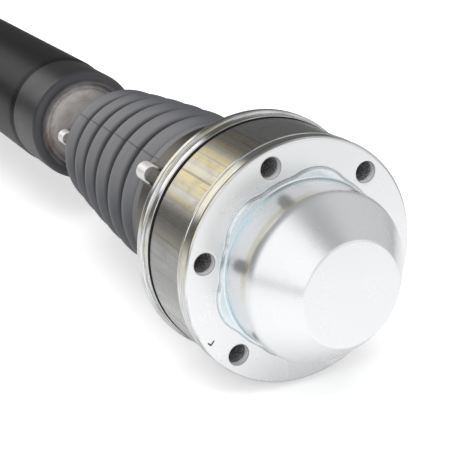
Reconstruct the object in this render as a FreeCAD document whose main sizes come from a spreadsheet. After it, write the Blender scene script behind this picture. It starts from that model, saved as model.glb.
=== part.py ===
import FreeCAD, Part
import math
import os
from types import SimpleNamespace
import Sketcher

# Propeller shaft with a constant-velocity ball joint at each end
# The shaft lies along X. The origin is the centre of the front mounting face, and +X points out of that face.
# Each end is drawn once, from its own mounting face backwards, and the rear end is the same one turned round.

# Driving sizes in millimetres and degrees, as name, value and meaning
SIZES = [
    ("shaft_length", "700", "front mounting face to rear mounting face"),
    ("index_angle", "-10.2", "turn of the bolt holes about the shaft"),
    ("bolt_count", "6", "bolt holes and balls in one joint"),
    ("ball_radius", "11", "ball"),
    ("ball_circle_radius", "32.5", "ball centres from the axis"),
    ("track_play", "0.5", "play of a ball in its tracks"),
    ("sphere_rise", "2.7", "spherical bore of the outer race beyond the ball circle"),
    ("cage_clearance", "0.3", "play of the cage in each race"),
    ("cage_wall", "4.6", "wall of the ball cage"),
    ("cage_width", "31", "ball cage along the axis"),
    ("window_play", "0.1", "play of a ball in its window, along the axis"),
    ("window_slack", "0.5", "play of a ball in its window, round the cage"),
    ("inner_race_width", "26", "inner race along the axis"),
    ("race_length", "40", "front to rear face of the outer race"),
    ("bolt_hole_radius", "4.25", "clearance hole for an 8 mm bolt"),
    ("bolt_wall", "3.55", "metal between the spherical bore and a bolt hole"),
    ("edge_wall", "2.75", "metal between a bolt hole and the race's outside"),
    ("rim_recess", "0.5", "depth of the lands under the two folded rims"),
    ("land_gap", "0.1", "gap between a folded rim and the race's step"),
    ("cap_thickness", "0.9", "sheet of the grease cap"),
    ("cap_rim_width", "7.4", "rim of the cap over the race"),
    ("cap_curl_width", "1.2", "turned edge of the cap's rim, and the groove beside it"),
    ("cap_groove_depth", "0.35", "groove beside the turned edge"),
    ("cap_rim_round", "1.3", "front corner of the cap's rim"),
    ("drum_room", "4.25", "bolt hole to the straight wall of the dome"),
    ("drum_height", "18.2", "mounting face to the dome's shoulder"),
    ("drum_round", "8", "shoulder of the dome, outside"),
    ("dome_height", "34.7", "mounting face to the dome's end"),
    ("dome_end_radius", "20.9", "flat end of the dome"),
    ("dome_end_round", "1.6", "edge of the flat end"),
    ("step_foot", "2", "raised step beyond the dome's wall, beside a bolt hole"),
    ("step_width", "4.5", "raised step beyond the dome's wall, at the middle of a lobe"),
    ("step_height", "1.7", "height of the raised step"),
    ("step_edge", "0.8", "round of the raised step's edge"),
    ("lobe_radius", "17.2", "outline of one lobe of the raised step"),
    ("lobe_corner", "1.5", "hollow corner on each side of a lobe"),
    ("drum_foot", "0.6", "hollow round between the raised step and the dome's wall"),
    ("can_thickness", "1", "sheet of the boot can"),
    ("can_skirt_width", "7.2", "rim of the can over the race"),
    ("can_bead_width", "4.6", "rolled bead at the back of the can's rim"),
    ("can_bead_height", "1.3", "height of the rolled bead"),
    ("can_bead_round", "1.2", "round of the rolled bead"),
    ("neck_room", "3.15", "bolt hole to the neck of the can, where the boot sits"),
    ("neck_gap", "0.6", "end of the can's neck to the step inside the boot"),
    ("seal_width", "1.5", "rubber ring between the can's rim and the race's step"),
    ("seal_height", "0.8", "height of the rubber ring above the land"),
    ("inner_race_wall", "7", "metal between a track and the inner race's bore"),
    ("stub_tip_length", "3.6", "end of the stub shaft past the inner race"),
    ("tip_bevel", "1", "bevel on the end of the stub shaft"),
    ("circlip_width", "1.7", "circlip along the axis"),
    ("circlip_depth", "1.3", "groove of the circlip"),
    ("circlip_height", "2.6", "circlip above the stub shaft"),
    ("circlip_gap_angle", "40", "open part of the circlip"),
    ("fit_gap", "0.05", "running fit between turned pieces"),
    ("shoulder_height", "2.5", "collar behind the inner race, above the splines"),
    ("shoulder_width", "4", "collar behind the inner race, along the axis"),
    ("shank_step", "1", "shank inside the boot, below the splines"),
    ("seat_rise", "5", "seat of the boot's small end above the shank"),
    ("seat_lead", "3", "seat in front of the boot's small cuff"),
    ("seat_width", "14.5", "seat of the boot's small end along the axis"),
    ("root_step", "0.8", "neck behind the seat, below the seat"),
    ("root_length", "13.5", "neck between the seat and the dish"),
    ("dish_length", "12", "dish's cone along the axis, to the collar's front"),
    ("dish_depth", "2.2", "depth of the dish"),
    ("dish_slope", "2.4", "flat floor of the dish, between its cone and its rim"),
    ("dish_rim", "6.4", "ring of the collar round the dish"),
    ("collar_length", "34", "stub's collar up to the tube's weld"),
    ("collar_round", "4.2", "rounded front of the collar"),
    ("collar_step", "0.8", "collar below the tube's outside"),
    ("tube_radius", "30.5", "outside of the tube"),
    ("tube_wall", "2.2", "wall of the tube"),
    ("weld_width", "5", "weld bead on the tube's end"),
    ("weld_height", "0.25", "height of the weld bead"),
    ("spigot_length", "10", "stub shaft inside the tube"),
    ("spigot_gap", "0.1", "fit of the spigot in the tube"),
    ("boot_wall", "2", "wall of the boot"),
    ("neck_bare", "20.6", "race's rear face to the boot's large end"),
    ("cuff_width", "16", "large cuff of the boot"),
    ("first_fold", "9.5", "large cuff to the largest convolution"),
    ("boot_pitch", "16.8", "spacing of the convolutions"),
    ("boot_folds", "6", "convolutions"),
    ("boot_fullness", "1.5", "how early the convolutions grow, as a power"),
    ("boot_fold_depth", "6.4", "crest to valley"),
    ("small_crest_radius", "31.3", "smallest convolution"),
    ("crest_rise", "2.2", "largest convolution above the can's neck"),
    ("last_fold", "15", "smallest convolution to the small cuff"),
    ("small_cuff_wall", "2.3", "wall of the small cuff"),
    ("clamp_thickness", "0.8", "strip of the boot clamps"),
    ("large_clamp_inset", "1.5", "boot's large end to the large clamp"),
    ("large_clamp_width", "8.5", "strip of the large clamp"),
    ("large_clamp_turn", "146", "ear of the large clamp, as an angle about the shaft"),
    ("large_ear_width", "8", "ear of the large clamp, round the strip"),
    ("large_ear_height", "6.6", "ear of the large clamp"),
    ("small_clamp_inset", "3", "small cuff's start to the small clamp"),
    ("small_clamp_width", "7", "strip of the small clamp"),
    ("small_clamp_turn", "168", "ear of the small clamp, as an angle about the shaft"),
    ("small_ear_width", "7", "ear of the small clamp, round the strip"),
    ("small_ear_height", "6", "ear of the small clamp"),
]

SHEET_NAME = "Sizes"
NEAR = 0.01
FULL_TURN = 360
TRACK_SWEEP = 90
PLANE_OF_PROFILE = "XZ_Plane"
PLANE_ACROSS = "YZ_Plane"
PLANE_OF_WINDOWS = "XY_Plane"


class Size:
    """A length that knows its number and the spreadsheet formula that drives it."""

    def __init__(self, value, text):
        self.value = value
        self.text = text

    def __add__(self, other):
        other = as_size(other)
        return Size(self.value + other.value, "(%s + %s)" % (self.text, other.text))

    def __sub__(self, other):
        other = as_size(other)
        return Size(self.value - other.value, "(%s - %s)" % (self.text, other.text))

    def __mul__(self, other):
        other = as_size(other)
        return Size(self.value * other.value, "(%s * %s)" % (self.text, other.text))

    def __truediv__(self, other):
        other = as_size(other)
        return Size(self.value / other.value, "(%s / %s)" % (self.text, other.text))

    def __neg__(self):
        return Size(-self.value, "(0 - %s)" % self.text)

    def root(self):
        return Size(math.sqrt(self.value), "sqrt(%s)" % self.text)


def as_size(thing):
    return thing if isinstance(thing, Size) else Size(float(thing), str(thing))


ZERO = as_size(0)

doc = FreeCAD.newDocument("drive_shaft")
sheet = doc.addObject("Spreadsheet::Sheet", SHEET_NAME)
for row, (alias, text, meaning) in enumerate(SIZES, start=1):
    sheet.set("A%d" % row, alias)
    sheet.set("B%d" % row, text)
    sheet.setAlias("B%d" % row, alias)
    sheet.set("C%d" % row, meaning)
doc.recompute()
size = SimpleNamespace(**{alias: Size(float(text), SHEET_NAME + "." + alias) for alias, text, _ in SIZES})

# Radii that follow from the balls outwards
outer_sphere = size.ball_circle_radius + size.sphere_rise
bolt_circle_radius = outer_sphere + size.bolt_wall + size.bolt_hole_radius
race_radius = bolt_circle_radius + size.bolt_hole_radius + size.edge_wall
land_radius = race_radius - size.rim_recess
drum_radius = bolt_circle_radius - size.bolt_hole_radius - size.drum_room
step_radius = drum_radius + size.step_foot
lobe_centre = drum_radius + size.step_width - size.lobe_radius
neck_radius = bolt_circle_radius - size.bolt_hole_radius - size.neck_room
cage_outer = outer_sphere - size.cage_clearance
cage_inner = cage_outer - size.cage_wall
inner_sphere = cage_inner - size.cage_clearance
track_radius = size.ball_radius + size.track_play
spline_radius = size.ball_circle_radius - track_radius - size.inner_race_wall
circlip_bore = spline_radius - size.circlip_depth
shank_radius = spline_radius - size.shank_step
seat_radius = shank_radius + size.seat_rise
collar_radius = size.tube_radius - size.collar_step
dish_radius = collar_radius - size.dish_rim
cuff_outer = neck_radius + size.fit_gap + size.boot_wall
small_cuff_outer = seat_radius + size.fit_gap + size.small_cuff_wall
large_crest_radius = neck_radius + size.crest_rise

# Stations that several pieces share, measured back from the mounting face
joint_centre = size.cap_thickness + size.race_length / 2
race_rear = size.cap_thickness + size.race_length
front_step = size.cap_rim_width + size.land_gap
rear_step = race_rear - size.can_skirt_width - size.seal_width
inner_race_front = joint_centre - size.inner_race_width / 2
inner_race_back = joint_centre + size.inner_race_width / 2
cuff_start = race_rear + size.neck_bare
cuff_end = cuff_start + size.cuff_width
neck_end = cuff_end - size.boot_wall - size.neck_gap
last_crest = cuff_end + size.first_fold
small_cuff_start = last_crest + size.boot_pitch * (size.boot_folds - 1) + size.last_fold
seat_start = small_cuff_start - size.seat_lead
seat_end = seat_start + size.seat_width
root_end = seat_end + size.root_length
collar_start = root_end + size.dish_length
collar_end = collar_start + size.collar_length
BALL_TURN = FULL_TURN / (2 * size.bolt_count.value)


class Bow:
    """A round stretch of an outline: from start_x to end_x on a circle whose centre is on the axis."""

    def __init__(self, start_x, end_x, centre_x, radius):
        self.start_x = start_x
        self.end_x = end_x
        self.centre_x = centre_x
        self.radius = radius

    def point(self, x):
        reach = x.value - self.centre_x.value
        return FreeCAD.Vector(x.value, math.sqrt(self.radius.value**2 - reach**2), 0)


def origin_feature(body, role):
    return next(o for o in body.Origin.OriginFeatures if o.Role == role)


def new_body(label):
    body = doc.addObject("PartDesign::Body", label)
    body.Label = label
    return body


def new_sketch(body, name, plane, offset=None):
    sketch = body.newObject("Sketcher::SketchObject", name)
    sketch.AttachmentSupport = [(origin_feature(body, plane), "")]
    sketch.MapMode = "FlatFace"
    if offset is not None:
        sketch.setExpression("AttachmentOffset.Base.z", offset.text)
        doc.recompute()
    return sketch


def drive(sketch, constraint, formula):
    index = sketch.addConstraint(constraint)
    sketch.setExpression("Constraints[%d]" % index, formula.text)


def fix_along(sketch, kind, axis, geometry, end, place):
    """Holds one coordinate of a point at its distance from the sketch's origin."""
    if place.text == ZERO.text:
        sketch.addConstraint(Sketcher.Constraint("PointOnObject", geometry, end, axis))
    elif place.value < 0:
        away = -place
        drive(sketch, Sketcher.Constraint(kind, geometry, end, -1, 1, away.value), away)
    else:
        drive(sketch, Sketcher.Constraint(kind, -1, 1, geometry, end, place.value), place)


def fix_x(sketch, geometry, end, place):
    fix_along(sketch, "DistanceX", -2, geometry, end, place)


def fix_y(sketch, geometry, end, place):
    fix_along(sketch, "DistanceY", -1, geometry, end, place)


def add_bow(sketch, bow):
    """Adds a round stretch above the axis and returns its number with its first and last end."""
    centre = FreeCAD.Vector(bow.centre_x.value, 0, 0)
    points = [bow.point(bow.start_x), bow.point(bow.end_x)]
    angles = [math.atan2(p.y, p.x - centre.x) for p in points]
    circle = Part.Circle(centre, FreeCAD.Vector(0, 0, 1), bow.radius.value)
    number = sketch.addGeometry(Part.ArcOfCircle(circle, min(angles), max(angles)), False)
    first, last = (1, 2) if angles[0] < angles[1] else (2, 1)
    fix_x(sketch, number, 3, bow.centre_x)
    fix_y(sketch, number, 3, ZERO)
    drive(sketch, Sketcher.Constraint("Radius", number, bow.radius.value), bow.radius)
    fix_x(sketch, number, first, bow.start_x)
    fix_x(sketch, number, last, bow.end_x)
    return number, first, last


def outline(body, name, plane, path):
    """Draws a closed outline through corners (x, y) and round stretches, each held by the sheet."""
    sketch = new_sketch(body, name, plane)
    stops = []
    for item in path:
        if isinstance(item, Bow):
            stops.append((item.point(item.start_x), item.point(item.end_x), item))
        else:
            point = FreeCAD.Vector(item[0].value, item[1].value, 0)
            stops.append((point, point, item))
    lines = []
    for index, (_, leave, _) in enumerate(stops):
        arrive = stops[(index + 1) % len(stops)][0]
        lines.append(sketch.addGeometry(Part.LineSegment(leave, arrive), False))
    for index, (_, _, item) in enumerate(stops):
        before = lines[index - 1]
        after = lines[index]
        if isinstance(item, Bow):
            number, first, last = add_bow(sketch, item)
            sketch.addConstraint(Sketcher.Constraint("Coincident", before, 2, number, first))
            sketch.addConstraint(Sketcher.Constraint("Coincident", number, last, after, 1))
        else:
            sketch.addConstraint(Sketcher.Constraint("Coincident", before, 2, after, 1))
            fix_x(sketch, after, 1, item[0])
            fix_y(sketch, after, 1, item[1])
    return sketch


def circle(sketch, across, radius):
    """Adds a circle whose centre is on the sketch's first axis."""
    centre = FreeCAD.Vector(across.value, 0, 0)
    number = sketch.addGeometry(Part.Circle(centre, FreeCAD.Vector(0, 0, 1), radius.value), False)
    fix_x(sketch, number, 3, across)
    fix_y(sketch, number, 3, ZERO)
    drive(sketch, Sketcher.Constraint("Radius", number, radius.value), radius)


def turn(body, name, path):
    """Turns an outline once round the shaft's axis."""
    sketch = outline(body, name + "_outline", PLANE_OF_PROFILE, path)
    feature = body.newObject("PartDesign::Revolution", name)
    feature.Profile = sketch
    feature.ReferenceAxis = (sketch, ["H_Axis"])
    feature.Angle = FULL_TURN
    doc.recompute()
    return feature


def ring_edges(shape, rings):
    """Names the round edges about X that lie at the given stations and radii."""
    names = []
    for number, edge in enumerate(shape.Edges, start=1):
        curve = edge.Curve
        if not isinstance(curve, Part.Circle):
            continue
        for x, radius in rings:
            if abs(curve.Center.x - x.value) < NEAR and abs(curve.Radius - radius.value) < NEAR:
                names.append("Edge%d" % number)
    return names


def round_edges(body, name, edges, radius):
    if not edges:
        raise ValueError(body.Label + ": " + name + " found no edge")
    base = body.Tip
    fillet = body.newObject("PartDesign::Fillet", name)
    fillet.Base = (base, edges)
    fillet.setExpression("Radius", radius.text)
    doc.recompute()


def round_rings(body, name, rings, radius):
    doc.recompute()
    round_edges(body, name, ring_edges(body.Tip.Shape, rings), radius)


def pad(body, name, sketch, length, backwards=False):
    """Raises a sketch into a block, along its own direction or against it."""
    block = body.newObject("PartDesign::Pad", name)
    block.Profile = sketch
    block.Reversed = backwards
    block.setExpression("Length", length.text)
    doc.recompute()
    return block


def cut(body, name, sketch, depth=None):
    """Cuts a sketch backwards, against its own direction, to a depth or right through."""
    before = body.Tip.Shape.Volume
    pocket = body.newObject("PartDesign::Pocket", name)
    pocket.Profile = sketch
    if depth is None:
        pocket.Type = "ThroughAll"
    else:
        pocket.setExpression("Length", depth.text)
    doc.recompute()
    if pocket.Shape.Volume >= before:
        raise ValueError(body.Label + ": " + name + " cut nothing")
    return pocket


def repeat_round(body, name, feature):
    pattern = body.newObject("PartDesign::PolarPattern", name)
    pattern.Originals = [feature]
    pattern.Axis = (origin_feature(body, "X_Axis"), [""])
    pattern.Angle = FULL_TURN
    pattern.setExpression("Occurrences", size.bolt_count.text)
    body.Tip = pattern
    doc.recompute()


def drill_bolt_holes(body):
    sketch = new_sketch(body, "bolt_hole_outline", PLANE_ACROSS)
    circle(sketch, bolt_circle_radius, size.bolt_hole_radius)
    repeat_round(body, "bolt_holes", cut(body, "bolt_hole", sketch))


def cut_ball_tracks(body):
    """Cuts six tracks that run as arcs about the joint's centre, halfway between the bolt holes."""
    sketch = new_sketch(body, "track_outline", PLANE_ACROSS, -joint_centre)
    centre = FreeCAD.Vector(0, size.ball_circle_radius.value, 0)
    number = sketch.addGeometry(Part.Circle(centre, FreeCAD.Vector(0, 0, 1), track_radius.value), False)
    fix_x(sketch, number, 3, ZERO)
    fix_y(sketch, number, 3, size.ball_circle_radius)
    drive(sketch, Sketcher.Constraint("Radius", number, track_radius.value), track_radius)
    before = body.Tip.Shape.Volume
    groove = body.newObject("PartDesign::Groove", "ball_track")
    groove.Profile = sketch
    groove.ReferenceAxis = (sketch, ["H_Axis"])
    groove.Midplane = True
    groove.Angle = TRACK_SWEEP
    doc.recompute()
    if groove.Shape.Volume >= before:
        raise ValueError(body.Label + ": the ball track cut nothing")
    repeat_round(body, "ball_tracks", groove)


def make_grease_cap(label):
    """Pressed cap: folded rim, flat flange, six-lobed raised step and a dome over the joint's end."""
    body = new_body(label)
    metal = size.cap_thickness
    rim = land_radius + metal
    rise = drum_radius - size.dome_end_radius
    run = size.dome_height - size.drum_height
    slant = (rise * rise + run * run).root()
    inside_height = size.drum_height - metal * (slant - run) / rise
    groove_back = size.cap_rim_width - size.cap_curl_width
    groove_front = groove_back - size.cap_curl_width / 2
    turn(
        body,
        "pressing",
        [
            (-size.cap_rim_width, land_radius),
            (-size.cap_rim_width, rim),
            (-groove_back, rim),
            (-groove_back, rim - size.cap_groove_depth),
            (-groove_front, rim - size.cap_groove_depth),
            (-groove_front, rim),
            (ZERO, rim),
            (ZERO, drum_radius),
            (size.drum_height, drum_radius),
            (size.dome_height, size.dome_end_radius),
            (size.dome_height, ZERO),
            (size.dome_height - metal, ZERO),
            (size.dome_height - metal, size.dome_end_radius - metal * (slant - rise) / run),
            (inside_height, drum_radius - metal),
            (-metal, drum_radius - metal),
            (-metal, land_radius),
        ],
    )
    raise_step(body)
    drill_bolt_holes(body)
    round_rings(body, "rim_round", [(ZERO, rim)], size.cap_rim_round)
    round_rings(body, "shoulder_round", [(size.drum_height, drum_radius)], size.drum_round)
    round_rings(body, "shoulder_inside_round", [(inside_height, drum_radius - metal)], size.drum_round - metal)
    round_rings(body, "end_round", [(size.dome_height, size.dome_end_radius)], size.dome_end_round)
    round_edges(body, "lobe_corners", lobe_corners(body.Tip.Shape), size.lobe_corner)
    round_edges(body, "step_round", step_edges(body.Tip.Shape), size.step_edge)
    round_rings(body, "drum_foot_round", [(size.step_height, drum_radius)], size.drum_foot)
    return body


def raise_step(body):
    """Presses up a ring round the dome, with a lobe between each two bolt holes."""
    ring = new_sketch(body, "ring_outline", PLANE_ACROSS)
    circle(ring, ZERO, step_radius)
    circle(ring, ZERO, drum_radius - size.cap_thickness)
    pad(body, "raised_ring", ring, size.step_height)
    lobe = new_sketch(body, "lobe_outline", PLANE_ACROSS)
    lobe.setExpression("AttachmentOffset.Rotation.Angle", "180 deg / " + size.bolt_count.text)
    crescent(lobe)
    repeat_round(body, "lobes", pad(body, "lobe", lobe, size.step_height))


def crescent(sketch):
    """Draws the part of a lobe beyond the ring: the lobe's arc outside and the ring's arc inside."""
    middle = lobe_centre.value
    ahead = (step_radius.value**2 + middle**2 - size.lobe_radius.value**2) / (2 * middle)
    aside = math.sqrt(step_radius.value**2 - ahead**2)
    numbers = []
    for centre, radius in ((lobe_centre, size.lobe_radius), (ZERO, step_radius)):
        half = math.atan2(aside, ahead - centre.value)
        whole = Part.Circle(FreeCAD.Vector(centre.value, 0, 0), FreeCAD.Vector(0, 0, 1), radius.value)
        number = sketch.addGeometry(Part.ArcOfCircle(whole, -half, half), False)
        fix_x(sketch, number, 3, centre)
        fix_y(sketch, number, 3, ZERO)
        drive(sketch, Sketcher.Constraint("Radius", number, radius.value), radius)
        numbers.append(number)
    outer, inner = numbers
    sketch.addConstraint(Sketcher.Constraint("Coincident", outer, 1, inner, 1))
    sketch.addConstraint(Sketcher.Constraint("Coincident", outer, 2, inner, 2))


def lobe_corners(shape):
    """Names the short edges along X where a lobe leaves the step's ring."""
    names = []
    for number, edge in enumerate(shape.Edges, start=1):
        reach = math.hypot(edge.Vertexes[0].Y, edge.Vertexes[0].Z)
        upright = abs(edge.BoundBox.XLength - size.step_height.value) < NEAR
        if upright and abs(edge.Length - size.step_height.value) < NEAR and abs(reach - step_radius.value) < NEAR:
            names.append("Edge%d" % number)
    return names


def step_edges(shape):
    """Names the edges round the top of the six-lobed step."""
    names = []
    for number, edge in enumerate(shape.Edges, start=1):
        flat = abs(edge.BoundBox.XLength) < NEAR
        on_top = abs(edge.BoundBox.XMin - size.step_height.value) < NEAR
        reach = max(math.hypot(v.Y, v.Z) for v in edge.Vertexes)
        if flat and on_top and reach > drum_radius.value + NEAR:
            names.append("Edge%d" % number)
    return names


def make_outer_race(label):
    """Machined housing of the joint: a land for each folded rim, a spherical bore and six tracks."""
    body = new_body(label)
    turn(
        body,
        "blank",
        [
            (-size.cap_thickness, land_radius),
            (-front_step, land_radius),
            (-front_step, race_radius),
            (-rear_step, race_radius),
            (-rear_step, land_radius),
            (-race_rear, land_radius),
            Bow(-race_rear, -size.cap_thickness, -joint_centre, outer_sphere),
        ],
    )
    drill_bolt_holes(body)
    cut_ball_tracks(body)
    return body


def make_inner_race(label):
    """Ball with six tracks on the end of the stub shaft."""
    body = new_body(label)
    bore = spline_radius + size.fit_gap
    turn(
        body,
        "blank",
        [
            Bow(-inner_race_back, -inner_race_front, -joint_centre, inner_sphere),
            (-inner_race_front, bore),
            (-inner_race_back, bore),
        ],
    )
    cut_ball_tracks(body)
    return body


def make_ball_cage(label):
    """Spherical ring with a window for each ball."""
    body = new_body(label)
    front = -joint_centre + size.cage_width / 2
    back = -joint_centre - size.cage_width / 2
    turn(
        body,
        "ring",
        [
            Bow(back, front, -joint_centre, cage_outer),
            Bow(front, back, -joint_centre, cage_inner),
        ],
    )
    half_along = size.ball_radius + size.window_play
    half_across = size.ball_radius + size.window_slack
    window = outline(
        body,
        "window_outline",
        PLANE_OF_WINDOWS,
        [
            (-joint_centre - half_along, -half_across),
            (-joint_centre + half_along, -half_across),
            (-joint_centre + half_along, half_across),
            (-joint_centre - half_along, half_across),
        ],
    )
    repeat_round(body, "windows", cut(body, "window", window))
    return body


def make_balls(label):
    """Six separate balls, one in each window."""
    balls = []
    for number in range(int(size.bolt_count.value)):
        angle = BALL_TURN * (2 * number + 1)
        ball = doc.addObject("Part::Sphere", "%s_%d" % (label, number + 1))
        ball.setExpression("Radius", size.ball_radius.text)
        ball.setExpression("Placement.Base.x", (-joint_centre).text)
        ball.setExpression("Placement.Base.y", "%s * cos(%g deg)" % (size.ball_circle_radius.text, angle))
        ball.setExpression("Placement.Base.z", "%s * sin(%g deg)" % (size.ball_circle_radius.text, angle))
        balls.append(ball)
    group = doc.addObject("Part::Compound", label)
    group.Label = label
    group.Links = balls
    return group


def make_circlip(label):
    """Open spring ring that holds the inner race on the stub shaft."""
    body = new_body(label)
    front = inner_race_front - size.fit_gap - size.circlip_width
    sketch = outline(
        body,
        "ring_outline",
        PLANE_OF_PROFILE,
        [
            (-front, circlip_bore + size.fit_gap),
            (-front, spline_radius + size.circlip_height),
            (-front - size.circlip_width, spline_radius + size.circlip_height),
            (-front - size.circlip_width, circlip_bore + size.fit_gap),
        ],
    )
    ring = body.newObject("PartDesign::Revolution", "ring")
    ring.Profile = sketch
    ring.ReferenceAxis = (sketch, ["H_Axis"])
    ring.setExpression("Angle", "%d - %s" % (FULL_TURN, size.circlip_gap_angle.text))
    return body


def make_can_seal(label):
    """Black rubber ring between the can's rim and the step of the race."""
    body = new_body(label)
    turn(
        body,
        "ring",
        [
            (-rear_step, land_radius),
            (-rear_step, land_radius + size.seal_height),
            (-rear_step - size.seal_width, land_radius + size.seal_height),
            (-rear_step - size.seal_width, land_radius),
        ],
    )
    return body


def make_boot_can(label):
    """Pressed can: rim with a rolled bead over the race, flat flange and a neck for the boot."""
    body = new_body(label)
    metal = size.can_thickness
    rim = land_radius + metal
    bead = rim + size.can_bead_height
    rim_front = rear_step + size.seal_width
    bead_front = race_rear + metal - size.can_bead_width
    turn(
        body,
        "pressing",
        [
            (-rim_front, land_radius),
            (-rim_front, rim),
            (-bead_front, rim),
            (-bead_front, bead),
            (-race_rear - metal, bead),
            (-race_rear - metal, neck_radius),
            (-neck_end, neck_radius),
            (-neck_end, neck_radius - metal),
            (-race_rear, neck_radius - metal),
            (-race_rear, land_radius),
        ],
    )
    drill_bolt_holes(body)
    round_rings(body, "bead_round", [(-bead_front, bead), (-race_rear - metal, bead)], size.can_bead_round)
    round_rings(body, "neck_round", [(-race_rear - metal, neck_radius)], metal)
    return body


def make_stub_shaft(label):
    """Splined end, shank, boot seat, dished collar and the spigot that is welded into the tube."""
    body = new_body(label)
    tip = inner_race_front - size.stub_tip_length
    clip_front = inner_race_front - size.fit_gap * 2 - size.circlip_width
    shank_start = inner_race_back + size.shoulder_width
    dish_floor = collar_start + size.dish_depth
    spigot = size.tube_radius - size.tube_wall - size.spigot_gap
    turn(
        body,
        "shaft",
        [
            (-tip, ZERO),
            (-tip, spline_radius - size.tip_bevel),
            (-tip - size.tip_bevel, spline_radius),
            (-clip_front, spline_radius),
            (-clip_front, circlip_bore),
            (-inner_race_front, circlip_bore),
            (-inner_race_front, spline_radius),
            (-inner_race_back, spline_radius),
            (-inner_race_back, spline_radius + size.shoulder_height),
            (-shank_start, spline_radius + size.shoulder_height),
            (-shank_start, shank_radius),
            (-seat_start, shank_radius),
            (-seat_start, seat_radius),
            (-seat_end, seat_radius),
            (-seat_end, seat_radius - size.root_step),
            (-root_end, seat_radius - size.root_step),
            (-dish_floor, dish_radius - size.dish_slope),
            (-dish_floor, dish_radius),
            (-collar_start, dish_radius),
            (-collar_start, collar_radius),
            (-collar_end, collar_radius),
            (-collar_end, spigot),
            (-collar_end - size.spigot_length, spigot),
            (-collar_end - size.spigot_length, ZERO),
        ],
    )
    round_rings(body, "collar_front", [(-collar_start, collar_radius)], size.collar_round)
    return body


def make_tube(label):
    """Thin tube between the two stub shafts, with a weld bead at each end."""
    body = new_body(label)
    rear_end = size.shaft_length - collar_end
    bead = size.tube_radius + size.weld_height
    bore = size.tube_radius - size.tube_wall
    turn(
        body,
        "wall",
        [
            (-collar_end, bore),
            (-collar_end, size.tube_radius),
            (-collar_end - size.weld_height, bead),
            (-collar_end - size.weld_width + size.weld_height, bead),
            (-collar_end - size.weld_width, size.tube_radius),
            (-rear_end + size.weld_width, size.tube_radius),
            (-rear_end + size.weld_width - size.weld_height, bead),
            (-rear_end + size.weld_height, bead),
            (-rear_end, size.tube_radius),
            (-rear_end, bore),
        ],
    )
    return body


def boot_waves():
    """Crests and valleys of the boot's outside, from the large end to the small one."""
    folds = int(size.boot_folds.value)
    grown = large_crest_radius.value - size.small_crest_radius.value
    crests = []
    for fold in range(folds):
        share = (fold / (folds - 1)) ** size.boot_fullness.value
        x = -last_crest.value - fold * size.boot_pitch.value
        crests.append((x, large_crest_radius.value - grown * share))
    waves = [crests[0]]
    for (x, radius), (next_x, next_radius) in zip(crests, crests[1:]):
        waves.append(((x + next_x) / 2, (radius + next_radius) / 2 - size.boot_fold_depth.value))
        waves.append((next_x, next_radius))
    return waves


def wave_edge(points):
    """A smooth line that runs level through each of its points."""
    places = [FreeCAD.Vector(x, 0, radius) for x, radius in points]
    level = [FreeCAD.Vector(-1, 0, 0)] * len(places)
    curve = Part.BSplineCurve()
    curve.interpolate(Points=places, Tangents=level, TangentFlags=[True] * len(places))
    return curve.toShape()


def make_boot(label):
    """Rubber bellows: a cuff on the can's neck, growing convolutions and a cuff on the stub shaft."""
    wall = size.boot_wall.value
    large_end = -cuff_start.value
    large_step = -cuff_end.value
    small_start = -small_cuff_start.value
    small_end = -seat_end.value
    bore = (neck_radius + size.fit_gap).value
    small_bore = (seat_radius + size.fit_gap).value
    waves = boot_waves()
    foot = (large_step, waves[0][1] - size.boot_fold_depth.value / 2)
    outside = [foot] + waves + [(small_start, small_cuff_outer.value)]
    inside = [(x, radius - wall) for x, radius in outside]
    inside[-1] = (small_start, small_bore)
    corners = [
        (large_step, cuff_outer.value),
        (large_end, cuff_outer.value),
        (large_end, bore),
        (large_step + wall, bore),
        (large_step + wall, inside[0][1]),
        inside[0],
    ]
    edges = [wave_edge(outside), wave_edge(inside)]
    edges += polyline([outside[0]] + corners)
    edges += polyline([outside[-1], (small_end, small_cuff_outer.value), (small_end, small_bore), inside[-1]])
    wire = Part.Wire(Part.__sortEdges__(edges))
    section = Part.Face(wire)
    boot = doc.addObject("Part::Feature", label)
    boot.Shape = section.revolve(FreeCAD.Vector(0, 0, 0), FreeCAD.Vector(1, 0, 0), FULL_TURN)
    boot.Label = label
    return boot


def polyline(points):
    places = [FreeCAD.Vector(x, 0, radius) for x, radius in points]
    return [Part.makeLine(a, b) for a, b in zip(places, places[1:]) if a.distanceToPoint(b) > NEAR]


def make_clamp(label, start, width, radius, ear_width, ear_height):
    """Steel strip with one raised ear, which points along +Y before the clamp is turned."""
    body = new_body(label)
    metal = size.clamp_thickness
    bore = radius + size.fit_gap
    turn(
        body,
        "strip",
        [
            (-start, bore),
            (-start, bore + metal),
            (-start - width, bore + metal),
            (-start - width, bore),
        ],
    )
    half = ear_width / 2
    top = bore + metal + ear_height - half
    ear = new_sketch(body, "ear_outline", PLANE_ACROSS, -start)
    arch(ear, bore, top, half)
    pad(body, "ear", ear, width, backwards=True)
    inside = new_sketch(body, "ear_opening_outline", PLANE_ACROSS, -start)
    arch(inside, bore + metal, top, half - metal)
    cut(body, "ear_opening", inside, width)
    return body


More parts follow.
